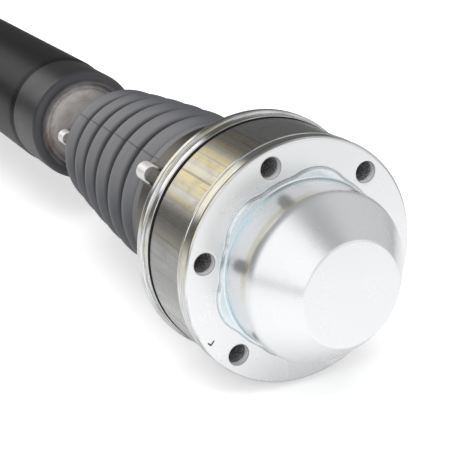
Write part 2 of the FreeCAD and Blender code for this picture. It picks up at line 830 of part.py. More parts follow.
def arch(sketch, foot, top, half):
    """A closed arch that stands on a line at foot: two straight legs and a half circle about top."""
    upper = Part.Circle(FreeCAD.Vector(top.value, 0, 0), FreeCAD.Vector(0, 0, 1), half.value)
    bow = sketch.addGeometry(Part.ArcOfCircle(upper, -math.pi / 2, math.pi / 2), False)
    corners = [(foot, -half), (top, -half), (top, half), (foot, half)]
    places = [FreeCAD.Vector(x.value, y.value, 0) for x, y in corners]
    lower = sketch.addGeometry(Part.LineSegment(places[0], places[1]), False)
    higher = sketch.addGeometry(Part.LineSegment(places[2], places[3]), False)
    base = sketch.addGeometry(Part.LineSegment(places[3], places[0]), False)
    for pair in ((lower, 2, bow, 1), (bow, 2, higher, 1), (higher, 2, base, 1), (base, 2, lower, 1)):
        sketch.addConstraint(Sketcher.Constraint("Coincident", *pair))
    for line, (x, y) in ((lower, corners[0]), (higher, corners[2]), (base, corners[3])):
        fix_x(sketch, line, 1, x)
        fix_y(sketch, line, 1, y)
    fix_x(sketch, bow, 3, top)
    fix_y(sketch, bow, 3, ZERO)
    fix_x(sketch, lower, 2, top)


def set_in_place(piece, rear, angle):
    """Turns a piece about the shaft by an angle from the first bolt hole. The rear end is turned end for
    end about a line across the shaft, and both ends get the same turn of the bolt holes, so they line up."""
    own_turn = FreeCAD.Rotation(FreeCAD.Vector(1, 0, 0), angle)
    end_for_end = FreeCAD.Rotation(FreeCAD.Vector(0, 0, 1), FULL_TURN / 2 if rear else 0)
    index_turn = FreeCAD.Rotation(FreeCAD.Vector(1, 0, 0), size.index_angle.value)
    piece.Placement = FreeCAD.Placement(FreeCAD.Vector(0, 0, 0), index_turn * end_for_end * own_turn)
    if rear:
        piece.setExpression("Placement.Base.x", (-size.shaft_length).text)


def make_joint(end, rear):
    """All pieces of one end of the shaft."""
    large_turn = size.large_clamp_turn.value - size.index_angle.value
    small_turn = size.small_clamp_turn.value - size.index_angle.value
    pieces = [
        (make_grease_cap(end + "_grease_cap"), 0),
        (make_outer_race(end + "_outer_race"), 0),
        (make_can_seal(end + "_can_seal"), 0),
        (make_boot_can(end + "_boot_can"), 0),
        (make_ball_cage(end + "_ball_cage"), 0),
        (make_balls(end + "_balls"), 0),
        (make_inner_race(end + "_inner_race"), 0),
        (make_circlip(end + "_circlip"), 0),
        (make_stub_shaft(end + "_stub_shaft"), 0),
        (make_boot(end + "_boot"), 0),
        (
            make_clamp(
                end + "_large_clamp",
                cuff_start + size.large_clamp_inset,
                size.large_clamp_width,
                cuff_outer,
                size.large_ear_width,
                size.large_ear_height,
            ),
            large_turn,
        ),
        (
            make_clamp(
                end + "_small_clamp",
                small_cuff_start + size.small_clamp_inset,
                size.small_clamp_width,
                small_cuff_outer,
                size.small_ear_width,
                size.small_ear_height,
            ),
            small_turn,
        ),
    ]
    for piece, angle in pieces:
        set_in_place(piece, rear, angle)
    return [piece for piece, _ in pieces]


def check(pieces):
    for thing in doc.Objects:
        if "Invalid" in thing.State or "Error" in thing.State:
            raise ValueError(thing.Name + " did not rebuild")
    for piece in pieces:
        if piece.Shape.isNull() or not piece.Shape.isValid() or not piece.Shape.Solids:
            raise ValueError(piece.Label + " has no valid solid")


pieces = [make_tube("tube")]
pieces += make_joint("front", False)
pieces += make_joint("rear", True)
doc.recompute()
check(pieces)
os.makedirs("parts", exist_ok=True)
for piece in pieces:
    piece.Shape.exportStep("parts/%s.step" % piece.Label)
    print("%-20s %d solids %9.1f mm3" % (piece.Label, len(piece.Shape.Solids), piece.Shape.Volume))
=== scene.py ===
# %% [markdown]
# # A vehicle drive shaft with two ball joints
#
# A drive shaft carries torque from a gearbox to an axle while both of them move.
# This one is a painted tube with a constant-velocity ball joint at each end: a bolted steel race,
# a bright pressed cap over the joint's open side, and a rubber boot that keeps the grease in.
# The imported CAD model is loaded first. It fixes every size and every moving body, and the surfaces made
# below are laid over it, in metres, in the same frame: X runs along the shaft, out of the front face.

# %% Load the frame
import math

import bmesh
import bpy
import numpy as np
from mathutils import Matrix, Vector


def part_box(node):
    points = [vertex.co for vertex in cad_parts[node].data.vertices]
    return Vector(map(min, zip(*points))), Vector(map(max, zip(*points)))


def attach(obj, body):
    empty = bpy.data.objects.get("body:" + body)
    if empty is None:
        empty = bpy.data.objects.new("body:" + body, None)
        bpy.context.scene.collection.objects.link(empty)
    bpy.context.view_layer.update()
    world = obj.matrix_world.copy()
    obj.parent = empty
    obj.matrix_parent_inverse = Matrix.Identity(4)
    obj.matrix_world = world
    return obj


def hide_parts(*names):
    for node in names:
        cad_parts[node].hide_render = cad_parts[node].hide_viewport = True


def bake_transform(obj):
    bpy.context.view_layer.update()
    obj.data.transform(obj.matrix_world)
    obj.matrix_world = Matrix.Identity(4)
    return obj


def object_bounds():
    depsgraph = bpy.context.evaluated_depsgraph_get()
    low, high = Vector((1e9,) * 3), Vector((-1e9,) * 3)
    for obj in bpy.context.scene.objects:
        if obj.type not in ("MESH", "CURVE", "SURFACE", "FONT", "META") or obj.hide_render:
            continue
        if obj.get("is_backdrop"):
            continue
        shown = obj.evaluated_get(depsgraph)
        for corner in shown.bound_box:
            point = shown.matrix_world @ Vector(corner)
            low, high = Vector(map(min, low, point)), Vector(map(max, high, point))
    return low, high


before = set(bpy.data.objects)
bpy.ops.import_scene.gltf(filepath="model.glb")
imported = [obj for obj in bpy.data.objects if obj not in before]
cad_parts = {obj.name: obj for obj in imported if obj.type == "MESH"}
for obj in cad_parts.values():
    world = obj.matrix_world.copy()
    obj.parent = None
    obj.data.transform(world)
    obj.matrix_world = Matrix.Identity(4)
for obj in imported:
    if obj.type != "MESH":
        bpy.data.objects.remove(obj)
cad_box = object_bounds()
MM = 0.001
low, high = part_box("front_outer_race")
print("race across: %.1f mm" % ((high.y - low.y) / MM))

# %% [markdown]
# ## One end, used twice
#
# Both ends are alike, so each surface is worked out once in the front end's own place and then carried to
# the rear by half a turn about a line across the shaft. The bolt holes are turned by a small angle about
# the shaft, and that line is turned with them, so the holes of both ends stand in line. The shaft's length
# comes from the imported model: the rear cap reaches as far beyond its mounting face as the front cap does.
# Neighbours stand a few hundredths of a millimetre apart, so that no face lies in another piece's face.

# %% Sizes in millimetres that several pieces share
CAP_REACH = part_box("front_grease_cap")[1].x / MM
SHAFT_LENGTH = -(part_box("rear_grease_cap")[0].x / MM + CAP_REACH)
INDEX_ANGLE = math.radians(-10.2)
BOLTS = 6
BOLT_CIRCLE = 43.0
BOLT_HOLE = 4.25
RACE_RADIUS = 50.0
LAND_RADIUS = 49.5
CAP_METAL = 0.9
RACE_REAR = CAP_METAL + 40.0
JOINT_CENTRE = CAP_METAL + 20.0
BOOT_SEAM = 111.0
NECK_RADIUS = 35.6
SHANK_SEAT = 18.0
LAND_CLEAR, SEAL_CLEAR, RUBBER_CLEAR = 0.02, 0.01, 0.05
TURNS = 288
TURN = 2 * math.pi / TURNS
SECTOR = 2 * math.pi / BOLTS
SECTOR_TURNS = TURNS // BOLTS
ENDS = ("front", "rear")
print("shaft length: %.1f mm, cap reach: %.1f mm" % (SHAFT_LENGTH, CAP_REACH))

# %% [markdown]
# ## Surfaces from grids of points
#
# Everything here is a turned, pressed or moulded shape, so it can be written as a grid of points: one
# direction runs along a section, the other round the shaft. A shape that isn't round everywhere, such as
# a flange with bolt holes, is a few such grids that share their edges. Joining the grids, merging the
# shared points and pointing all faces outwards gives one closed skin.

# %% Grids to a mesh
SHARP_ANGLE = math.radians(32)
MERGE_DISTANCE = 0.002


def grid_faces(rows, columns, wrap):
    """Corner numbers of the quads of a rows by columns grid; wrap joins the last column to the first."""
    across = columns if wrap else columns - 1
    row, column = np.meshgrid(np.arange(rows - 1), np.arange(across), indexing="ij")
    following = (column + 1) % columns
    first = row * columns
    return np.stack(
        [first + column, first + following, first + columns + following, first + columns + column], axis=-1
    ).reshape(-1, 4)


def carry(points, end):
    """Front points in millimetres to metres at either end. A half turn about a line u is 2 (p.u) u - p."""
    points = np.asarray(points, float)
    if end == "rear":
        across = np.array([0.0, -math.sin(INDEX_ANGLE), math.cos(INDEX_ANGLE)])
        points = 2 * (points @ across)[..., None] * across - points + [-SHAFT_LENGTH, 0, 0]
    return points * MM


def make_piece(name, grids, end="front"):
    """Joins grids (points, wrap) into one closed mesh, smooth except at edges sharper than SHARP_ANGLE."""
    vertices, faces, count = [], [], 0
    for points, wrap in grids:
        rows, columns = points.shape[:2]
        vertices.append(points.reshape(-1, 3))
        faces.append(grid_faces(rows, columns, wrap) + count)
        count += rows * columns
    mesh = bpy.data.meshes.new(name)
    mesh.from_pydata(carry(np.concatenate(vertices), end), [], np.concatenate(faces))
    shell = bmesh.new()
    shell.from_mesh(mesh)
    bmesh.ops.remove_doubles(shell, verts=shell.verts, dist=MERGE_DISTANCE * MM)
    bmesh.ops.recalc_face_normals(shell, faces=shell.faces)
    open_edges = sum(1 for edge in shell.edges if len(edge.link_faces) != 2)
    shell.to_mesh(mesh)
    shell.free()
    mesh.polygons.foreach_set("use_smooth", np.ones(len(mesh.polygons), bool))
    mesh.set_sharp_from_angle(angle=SHARP_ANGLE)
    piece = bpy.data.objects.new(name, mesh)
    bpy.context.scene.collection.objects.link(piece)
    triangles = sum(len(p.vertices) - 2 for p in mesh.polygons)
    print("%-22s %6d triangles, %d open edges" % (name, triangles, open_edges))
    return piece


# %% [markdown]
# ## Sections with round corners
#
# Real corners are never quite sharp, and their thin highlights are what makes metal look like metal. A
# section is a list of corners (x, r) with a radius for each. The helper swaps each corner for an arc that
# touches both sides, and adds a point close beside it so that the flat sides keep their own shading.

# %% Round corners and turned surfaces
NEARLY_STRAIGHT = math.radians(89.5)


def rounded(corners, steps=7, beside=0.04):
    """A line through corners (x, r, radius). Each arc starts radius*tan(turn/2) before its corner."""
    path = [np.array(corners[0][:2], float)]
    for before, corner, after in zip(corners, corners[1:], corners[2:]):
        here = np.array(corner[:2], float)
        back = np.array(before[:2], float) - here
        on = np.array(after[:2], float) - here
        back, on = back / np.linalg.norm(back), on / np.linalg.norm(on)
        half = 0.5 * math.acos(float(np.clip(back @ on, -1, 1)))
        if corner[2] <= 0 or half > NEARLY_STRAIGHT:
            path.append(here)
            continue
        reach = corner[2] / math.tan(half)
        middle = here + (back + on) / np.linalg.norm(back + on) * corner[2] / math.sin(half)
        start, stop = here + back * reach, here + on * reach
        bend = math.pi - 2 * half
        share = np.linspace(0, 1, steps)[:, None]
        from_start = np.sin((1 - share) * bend) * (start - middle)
        from_stop = np.sin(share * bend) * (stop - middle)
        arc = middle + (from_start + from_stop) / math.sin(bend)
        path += [start + back * beside, *arc, stop + on * beside]
    path.append(np.array(corners[-1][:2], float))
    return np.array(path)


def turned(section, turns=TURNS, ripple=None):
    """Carries a section (x, r) round the X axis: y = r cos a, z = r sin a. A ripple(x, r, a) adds to r."""
    section = np.asarray(section, float)
    angle = INDEX_ANGLE - SECTOR / 2 + np.arange(turns) * 2 * math.pi / turns
    x = np.repeat(section[:, :1], turns, axis=1)
    radius = np.repeat(section[:, 1:2], turns, axis=1)
    angle = np.repeat(angle[None, :], len(section), axis=0)
    if ripple is not None:
        radius = radius + ripple(x, radius, angle)
    return np.stack([x, radius * np.cos(angle), radius * np.sin(angle)], axis=-1), True


corner = [(0, 0, 0), (5, 0, 1.0), (5, 5, 0)]
print("points in a line with one round corner:", len(rounded(corner)))

# %% [markdown]
# ## A flange with six holes
#
# A flat flange is a grid too: rings of points, a little over a degree apart. Only a window round each bolt
# hole is different. There, straight lines fan out from the hole's circle to the window's four sides and end
# in the points that the rings already have, so nothing has to be cut. A height may be added to every point.
# The rings lie closer together at the cap's step, which ends inside the windows.

# %% Flat rings and fans round the holes
WINDOW = 8
WINDOW_INNER, STEP_EDGE, WINDOW_OUTER = 38.0, 40.2, 48.2
FAN_STEPS, HIDDEN_FAN_STEPS = 5, 4
close_rows = np.linspace(WINDOW_INNER, STEP_EDGE, 15)
wide_rows = np.linspace(STEP_EDGE, WINDOW_OUTER, 7)[1:]
WINDOW_ROWS = np.concatenate([close_rows, wide_rows])


def plate(x, radii, columns=np.arange(TURNS), height=None):
    """A flat ring, or part of one: x + height(r, a) at every radius r and at a = column * TURN."""
    radius, angle = np.meshgrid(radii, INDEX_ANGLE + columns * TURN, indexing="ij")
    x = x + (0 * radius if height is None else height(radius, angle))
    return np.stack([x, radius * np.cos(angle), radius * np.sin(angle)], axis=-1), len(columns) == TURNS


def about_shaft(x, points, number):
    """Turns points (y, z) of a hole's own sector to the place of bolt number, at station x."""
    angle = INDEX_ANGLE + number * SECTOR
    y = points[..., 0] * math.cos(angle) - points[..., 1] * math.sin(angle)
    z = points[..., 0] * math.sin(angle) + points[..., 1] * math.cos(angle)
    return np.stack([np.broadcast_to(x, y.shape), y, z], axis=-1)


def hole_circle(radius, columns, rows):
    """Even points round a hole, as many as a window of columns by rows has on its rim."""
    count = 2 * (columns + rows)
    angle = math.pi - (np.arange(count) - columns / 2) * 2 * math.pi / count
    return np.stack([BOLT_CIRCLE + radius * np.cos(angle), radius * np.sin(angle)], axis=-1)


def fans(x, inner, sides, hole, steps):
    """Windows with radii inner along one edge and sides up two: point = circle + share * (rim - circle)."""
    columns, rows = len(inner) - 1, len(sides) - 1
    angle = (np.arange(columns + 1) - columns / 2) * TURN
    radius = np.concatenate([inner[:-1], sides[:-1], np.full(columns, sides[-1]), sides[:0:-1]])
    turn = np.concatenate([angle[:-1], np.full(rows, angle[-1]), angle[:0:-1], np.full(rows, angle[0])])
    rim = np.stack([radius * np.cos(turn), radius * np.sin(turn)], axis=-1)
    circle = hole_circle(hole, columns, rows)
    points = circle + np.linspace(0, 1, steps)[:, None, None] * (rim - circle)
    return [(about_shaft(x, points, number), True) for number in range(BOLTS)]


def holed_ring(x, hole, height=None):
    """The part of a flange that has the holes: six windows, and six pieces of ring between them."""
    between = np.arange(WINDOW, SECTOR_TURNS - WINDOW + 1)
    grids = [plate(x, WINDOW_ROWS, between + number * SECTOR_TURNS, height) for number in range(BOLTS)]
    return grids + fans(x, np.full(2 * WINDOW + 1, WINDOW_INNER), WINDOW_ROWS, hole, FAN_STEPS)


def hole_walls(section, columns=2 * WINDOW, rows=len(WINDOW_ROWS) - 1):
    """Walls of the six holes from a section of (x, radius about the hole's own centre)."""
    rings = np.stack([hole_circle(radius, columns, rows) for _, radius in section])
    x = np.repeat(np.asarray(section, float)[:, :1], rings.shape[1], axis=1)
    return [(about_shaft(x, rings, number), True) for number in range(BOLTS)]


print("points round a hole:", len(hole_circle(BOLT_HOLE, 2 * WINDOW, len(WINDOW_ROWS) - 1)))

# %% [markdown]
# ## Grease cap
#
# The cap is pressed from thin zinc-plated sheet. It has a drum and a cone that make room for the joint's
# inner race, a raised step whose six lobes pass between the bolts, a flat flange, and a rim folded over
# the race. The step is a height over the flange. Its outline is a ring with six round lobes, so a point's
# distance inside it is the larger of two distances, blended where they meet, and a ramp follows from that.

# %% Cap surface
STEP_RADIUS = 36.6
STEP_HEIGHT = 1.7
STEP_RAMP = 0.9
LOBE_RADIUS = 17.2
LOBE_CENTRE = 39.1 - LOBE_RADIUS
LOBE_CORNER = 0.9
DRUM_RADIUS = 34.5
DRUM_FOOT = 1.1
DRUM_HEIGHT = 18.2
DOME_ROUND = 8.0
SWELL_AT, SWELL_HEIGHT, SWELL_ROUND = 0.55, 0.35, 70.0
DOME_END_RADIUS = 20.9
DOME_END_ROUND = 1.6
RIM_RADIUS = LAND_RADIUS + CAP_METAL
RIM_WIDTH = 7.4
RIM_ROUND = 1.3
GROOVE_START, GROOVE_END, GROOVE_DEPTH, GROOVE_SLOPE = 5.2, 6.1, 0.32, 0.2
HOLE_LIP = 0.6
CROWN_RINGS, FOOT_RINGS = 16, 12


def smooth_step(share):
    """0 below 0, 1 above 1, and 3s^2 - 2s^3 between."""
    share = np.clip(share, 0, 1)
    return share * share * (3 - 2 * share)


def soft_maximum(a, b, width):
    """The larger of two lengths, rounded off where they are within width of each other."""
    blend = np.clip(0.5 + 0.5 * (a - b) / width, 0, 1)
    return b + (a - b) * blend + width * blend * (1 - blend)


def step_height(radius, angle):
    """Height of the lobed step: it rises smoothly from its outline to its full height STEP_RAMP inside it."""
    turn = np.mod(angle - INDEX_ANGLE, SECTOR) - SECTOR / 2
    in_lobe = LOBE_RADIUS - np.hypot(radius * np.cos(turn) - LOBE_CENTRE, radius * np.sin(turn))
    inside = soft_maximum(STEP_RADIUS - radius, in_lobe, LOBE_CORNER)
    return STEP_HEIGHT * smooth_step(inside / STEP_RAMP)


def crown():
    """The step and the fillet above it. The last rings stand on a quarter circle at the drum's foot."""
    swing = np.linspace(0, math.pi / 2, FOOT_RINGS)
    flat = np.linspace(WINDOW_INNER, DRUM_RADIUS + DRUM_FOOT, CROWN_RINGS)[:-1]
    radii = np.concatenate([flat, DRUM_RADIUS + DRUM_FOOT * (1 - np.sin(swing))])
    lift = np.concatenate([0 * flat, DRUM_FOOT * (1 - np.cos(swing))])
    return plate(lift[:, None], radii, height=step_height)


def flat_back(x, inner):
    """The flange's hidden face, from a radius out to the land that the folded rim sits on."""
    rings = [plate(x, [inner, WINDOW_INNER]), plate(x, [WINDOW_OUTER, LAND_RADIUS + LAND_CLEAR])]
    return rings + holed_ring(x, BOLT_HOLE)


def cap_grids():
    """The cap: grids that share their edges. The cone swells by moving a point of it out, square to it."""
    rise, fall = CAP_REACH - DRUM_HEIGHT, DRUM_RADIUS - DOME_END_RADIUS
    slope = math.hypot(rise, fall)
    thin = CAP_METAL * slope / rise
    foot_top = STEP_HEIGHT + DRUM_FOOT
    swell_x = DRUM_HEIGHT + SWELL_AT * rise + SWELL_HEIGHT * fall / slope
    swell_radius = DRUM_RADIUS - SWELL_AT * fall + SWELL_HEIGHT * rise / slope
    dome = rounded(
        [
            (foot_top, DRUM_RADIUS, 0),
            (foot_top + 0.3, DRUM_RADIUS, 0),
            (DRUM_HEIGHT, DRUM_RADIUS, DOME_ROUND),
            (swell_x, swell_radius, SWELL_ROUND),
            (CAP_REACH, DOME_END_RADIUS, DOME_END_ROUND),
            (CAP_REACH, 0.0, 0),
        ],
        steps=14,
    )
    inside = rounded(
        [
            (-CAP_METAL, DRUM_RADIUS - CAP_METAL, 0),
            (DRUM_HEIGHT - 0.3, DRUM_RADIUS - CAP_METAL, DOME_ROUND - CAP_METAL),
            (CAP_REACH - CAP_METAL, DOME_END_RADIUS - thin + 0.7, CAP_METAL),
            (CAP_REACH - CAP_METAL, 0.0, 0),
        ]
    )
    rim = rounded(
        [
            (0.0, WINDOW_OUTER, 0),
            (0.0, RIM_RADIUS, RIM_ROUND),
            (-GROOVE_START, RIM_RADIUS, 0.25),
            (-GROOVE_START - GROOVE_SLOPE, RIM_RADIUS - GROOVE_DEPTH, 0.1),
            (-GROOVE_END + GROOVE_SLOPE, RIM_RADIUS - GROOVE_DEPTH, 0.1),
            (-GROOVE_END, RIM_RADIUS, 0.25),
            (-RIM_WIDTH, RIM_RADIUS, 0.45),
            (-RIM_WIDTH, LAND_RADIUS + LAND_CLEAR, 0.1),
            (-CAP_METAL, LAND_RADIUS + LAND_CLEAR, 0),
        ],
        beside=0.02,
    )
    wall = [(0.0, BOLT_HOLE + HOLE_LIP, 0), (0.0, BOLT_HOLE, HOLE_LIP), (-CAP_METAL, BOLT_HOLE, 0)]
    walls = hole_walls(rounded(wall, beside=0)[1:])
    grids = [crown(), turned(dome), turned(rim), turned(inside), *walls]
    grids += holed_ring(0.0, BOLT_HOLE + HOLE_LIP, step_height)
    return grids + flat_back(-CAP_METAL, DRUM_RADIUS - CAP_METAL)


def dress(piece, body, node):
    """The piece moves with a body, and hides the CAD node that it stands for."""
    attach(piece, body)
    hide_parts(node)


for end in ENDS:
    cap = make_piece(end + "_cap_skin", cap_grids(), end)
    dress(cap, end + "_housing", end + "_grease_cap")

# %% [markdown]
# ## Outer race
#
# The race is a thick machined ring. Its outside is bare steel between two thin lands under the folded
# rims, and the bolts pass through it from face to face. The bore is a sphere about the joint's centre
# with six tracks, each a bent tube round the same centre. Where the tube reaches further out than the
# sphere, the bore follows the tube: the radius is found by halving an interval until it fits. Both faces
# are hidden, so there a hole's window is simply the whole sector between two tracks.

# %% Race surface
OUTER_SPHERE = 35.2
BALL_CIRCLE = 32.5
TRACK_RADIUS = 11.5
FRONT_STEP = 7.5
REAR_STEP = RACE_REAR - 8.7
SECTOR_ROWS = 14
RACE_STATIONS = 25
SEARCH_START, SEARCH_END, HALVINGS = 26.0, 48.0, 26


def track_reach(x, angle):
    """Distance from the axis to the track's wall, by bisection on the distance to the track's middle line."""
    off = np.mod(angle - INDEX_ANGLE, SECTOR) - SECTOR / 2
    near, far = np.full(off.shape, SEARCH_START), np.full(off.shape, SEARCH_END)
    for _ in range(HALVINGS):
        middle = 0.5 * (near + far)
        inward = np.hypot(middle * np.cos(off), x + JOINT_CENTRE) - BALL_CIRCLE
        inside = np.hypot(inward, middle * np.sin(off)) < TRACK_RADIUS
        near, far = np.where(inside, middle, near), np.where(inside, far, middle)
    return np.where(near > SEARCH_START + 0.5, near, 0)


def race_grids():
    """The race: its bore's radius is the larger of the sphere's sqrt(R^2 - x^2) and the track's reach."""
    x = np.linspace(-RACE_REAR, -CAP_METAL, RACE_STATIONS)
    sphere = np.stack([x, np.sqrt(OUTER_SPHERE**2 - (x + JOINT_CENTRE) ** 2)], axis=-1)
    bore = turned(sphere, ripple=lambda x, r, a: np.maximum(track_reach(x, a) - r, 0))
    outside = rounded(
        [
            (-CAP_METAL, LAND_RADIUS, 0),
            (-FRONT_STEP, LAND_RADIUS, 0.1),
            (-FRONT_STEP, RACE_RADIUS, 0.25),
            (-REAR_STEP, RACE_RADIUS, 0.3),
            (-REAR_STEP, LAND_RADIUS, 0.1),
            (-RACE_REAR, LAND_RADIUS, 0),
        ]
    )
    through = [(x, BOLT_HOLE) for x in (-CAP_METAL, -JOINT_CENTRE, -RACE_REAR)]
    grids = [bore, turned(outside), *hole_walls(through, SECTOR_TURNS, SECTOR_ROWS)]
    for x, edge in ((-CAP_METAL, bore[0][-1]), (-RACE_REAR, bore[0][0])):
        inner = np.hypot(edge[: SECTOR_TURNS + 1, 1], edge[: SECTOR_TURNS + 1, 2])
        sides = np.linspace(inner[0], LAND_RADIUS, SECTOR_ROWS + 1)
        grids += fans(x, inner, sides, BOLT_HOLE, HIDDEN_FAN_STEPS)
    return grids


for end in ENDS:
    race = make_piece(end + "_race_ring", race_grids(), end)
    dress(race, end + "_housing", end + "_outer_race")

# %% [markdown]
# ## Seal and boot can
#
# Behind the race sits a second pressing, the can. Its rim is folded over the race and ends in a rolled
# bead, its flange takes the bolts, and its neck carries the boot. A black rubber ring fills the groove
# between the rim and the race. Both are sections turned round the shaft, and the can's flange gets its
# holes from the same windows as the cap's.

# %% Seal and can surfaces
CAN_METAL = 1.0
CAN_RIM = LAND_RADIUS + CAN_METAL
CAN_BACK = RACE_REAR + CAN_METAL
RIM_FRONT = REAR_STEP + 1.5
BEAD_FRONT = CAN_BACK - 4.6
BEAD_RADIUS = CAN_RIM + 1.3
NECK_ROOT, NECK_END = 37.5, 74.9
SEAL_HEIGHT = 0.8


def seal_grids():
    """A low ring with two round corners, turned round the shaft on the race's rear land."""
    ring = [
        (-REAR_STEP, LAND_RADIUS + SEAL_CLEAR, 0),
        (-REAR_STEP, LAND_RADIUS + SEAL_HEIGHT, 0.3),
        (-RIM_FRONT, LAND_RADIUS + SEAL_HEIGHT, 0.3),
        (-RIM_FRONT, LAND_RADIUS + SEAL_CLEAR, 0),
        (-REAR_STEP, LAND_RADIUS + SEAL_CLEAR, 0),
    ]
    return [turned(rounded(ring, beside=0))]


def can_grids():
    """The can: the folded rim with its bead, the flat flange and the neck, as grids that share edges."""
    bead = rounded(
        [
            (-CAN_BACK, WINDOW_OUTER, 0),
            (-CAN_BACK, BEAD_RADIUS, 1.9),
            (-BEAD_FRONT, BEAD_RADIUS, 1.1),
            (-BEAD_FRONT, CAN_RIM + 0.1, 0.35),
            (-RIM_FRONT, CAN_RIM, 0.4),
            (-RIM_FRONT, LAND_RADIUS + LAND_CLEAR, 0.1),
            (-RACE_REAR, LAND_RADIUS + LAND_CLEAR, 0),
        ]
    )
    neck = rounded(
        [
            (-CAN_BACK, NECK_ROOT, 0),
            (-CAN_BACK, NECK_RADIUS, 1.6),
            (-NECK_END, NECK_RADIUS, 0.4),
            (-NECK_END, NECK_RADIUS - CAN_METAL, 0.4),
            (-RACE_REAR, NECK_RADIUS - CAN_METAL, 0),
        ]
    )
    grids = [turned(bead), turned(neck), plate(-CAN_BACK, [NECK_ROOT, WINDOW_INNER])]
    grids += holed_ring(-CAN_BACK, BOLT_HOLE) + hole_walls([(-CAN_BACK, BOLT_HOLE), (-RACE_REAR, BOLT_HOLE)])
    return grids + flat_back(-RACE_REAR, NECK_RADIUS - CAN_METAL)


for end in ENDS:
    ring = make_piece(end + "_seal_ring", seal_grids(), end)
    dress(ring, end + "_housing", end + "_can_seal")
    can = make_piece(end + "_can_skin", can_grids(), end)
    dress(can, end + "_housing", end + "_boot_can")

# %% [markdown]
# ## Boot
#
# The boot is the piece that moves most: a bellows whose folds grow towards the joint. Its outside is a
# line through crests and valleys. From a crest the radius falls as a power of the way to the valley, so
# the crests are broad and the valleys are narrow creases, as moulded folds are, and the crease itself is
# rounded a little. The boot crosses two hinges, so it is made in two halves that meet in a valley.

# %% Boot section
BOOT_WALL, SMALL_CUFF_WALL = 2.0, 2.3
CUFF_START, CUFF_END = 61.5, 77.5
CUFF_RADIUS = NECK_RADIUS + RUBBER_CLEAR + BOOT_WALL
CUFF_STEP_END, CUFF_STEP = CUFF_END + 1.6, 4.6
SMALL_CUFF_START, SMALL_CUFF_END = 186.0, 197.5
SMALL_CUFF_RADIUS = SHANK_SEAT + RUBBER_CLEAR + SMALL_CUFF_WALL
LAST_CREST, FOLD_PITCH, FOLDS = 87.0, 16.8, 6
SMALL_CREST, LARGE_CREST, FULLNESS = 31.3, 37.8, 1.5
FOLD_DEPTH = 6.4
FOLD_POWER, CREASE = 2.3, 0.07
SEAM_ANGLE, SEAM_HEIGHT, SEAM_WIDTH = math.radians(136), 0.15, 0.5
BOOT_TURNS = 216
JOINT_HALF_RINGS, TUBE_HALF_RINGS, INNER_EVERY = 73, 142, 3


def boot_marks():
    """Crests and valleys (distance behind the face, radius), with the cuffs' ends as the outermost marks."""
    share = (np.arange(FOLDS) / (FOLDS - 1)) ** FULLNESS
    crest_at = LAST_CREST + np.arange(FOLDS) * FOLD_PITCH
    crest = LARGE_CREST - (LARGE_CREST - SMALL_CREST) * share
    valley_at = 0.5 * (crest_at[1:] + crest_at[:-1])
    valley = 0.5 * (crest[1:] + crest[:-1]) - FOLD_DEPTH
    at = np.concatenate([[CUFF_STEP_END], crest_at, valley_at, [SMALL_CUFF_START]])
    radius = np.concatenate([[LARGE_CREST - FOLD_DEPTH], crest, valley, [SMALL_CUFF_RADIUS]])
    kind = np.concatenate([[0], np.ones(FOLDS), np.zeros(FOLDS - 1), [0]])
    order = np.argsort(at)
    return at[order], radius[order], kind[order]


def fold_line(distance):
    """Radius = crest + (valley - crest) * s^p. s grows from 0 at a crest to 1 at a valley, rounded there."""
    at, radius, kind = boot_marks()
    cell = np.clip(np.searchsorted(at, distance, side="right") - 1, 0, len(at) - 2)
    share = (distance - at[cell]) / (at[cell + 1] - at[cell])
    to_valley = np.where(kind[cell] > 0.5, share, 1 - share)
    crest = np.where(kind[cell] > 0.5, radius[cell], radius[cell + 1])
    valley = np.where(kind[cell] > 0.5, radius[cell + 1], radius[cell])
    short_of_valley = (np.hypot(1 - to_valley, CREASE) - CREASE) / (math.hypot(1, CREASE) - CREASE)
    return crest + (valley - crest) * (1 - short_of_valley) ** FOLD_POWER


def mould_seam(x, radius, angle):
    """Two low ridges along the boot, where the mould parted: height * exp(-(way round / width)^2)."""
    off = np.mod(angle - SEAM_ANGLE + math.pi / 2, math.pi) - math.pi / 2
    return SEAM_HEIGHT * np.exp(-((off * radius / SEAM_WIDTH) ** 2))


def joint_half():
    """Closed section of the half on the joint's side: cuff, step down, three folds and back inside."""
    distance = np.linspace(CUFF_STEP_END, BOOT_SEAM, JOINT_HALF_RINGS)
    outside = np.stack([-distance, fold_line(distance)], axis=-1)
    inside = outside[::-INNER_EVERY] - [0, BOOT_WALL]
    cuff = rounded(
        [
            (-CUFF_STEP_END + 0.1, CUFF_RADIUS - CUFF_STEP - BOOT_WALL, 0),
            (-CUFF_STEP_END + 0.1, NECK_RADIUS + RUBBER_CLEAR, 0),
            (-CUFF_START, NECK_RADIUS + RUBBER_CLEAR, 0.2),
            (-CUFF_START, CUFF_RADIUS, 0.5),
            (-CUFF_END, CUFF_RADIUS, 0.9),
            (-CUFF_STEP_END, outside[0, 1], 0.0),
        ]
    )
    return np.concatenate([outside, inside, cuff])


def tube_half():
    """Closed section of the half on the tube's side: three folds, the small cuff and back inside."""
    distance = np.linspace(BOOT_SEAM, SMALL_CUFF_START, TUBE_HALF_RINGS)
    outside = np.stack([-distance, fold_line(distance)], axis=-1)
    inside = outside[::-INNER_EVERY] - [0, BOOT_WALL]
    cuff = rounded(
        [
            tuple(outside[-1]) + (0,),
            (-SMALL_CUFF_END, SMALL_CUFF_RADIUS, 0.6),
            (-SMALL_CUFF_END, SHANK_SEAT + RUBBER_CLEAR, 0.2),
            (-SMALL_CUFF_START, SHANK_SEAT + RUBBER_CLEAR, 0),
            tuple(inside[0]) + (0,),
        ]
    )
    return np.concatenate([outside, cuff[1:], inside, outside[:1]])


print("boot: %d folds, %.1f mm apart" % (FOLDS, FOLD_PITCH))
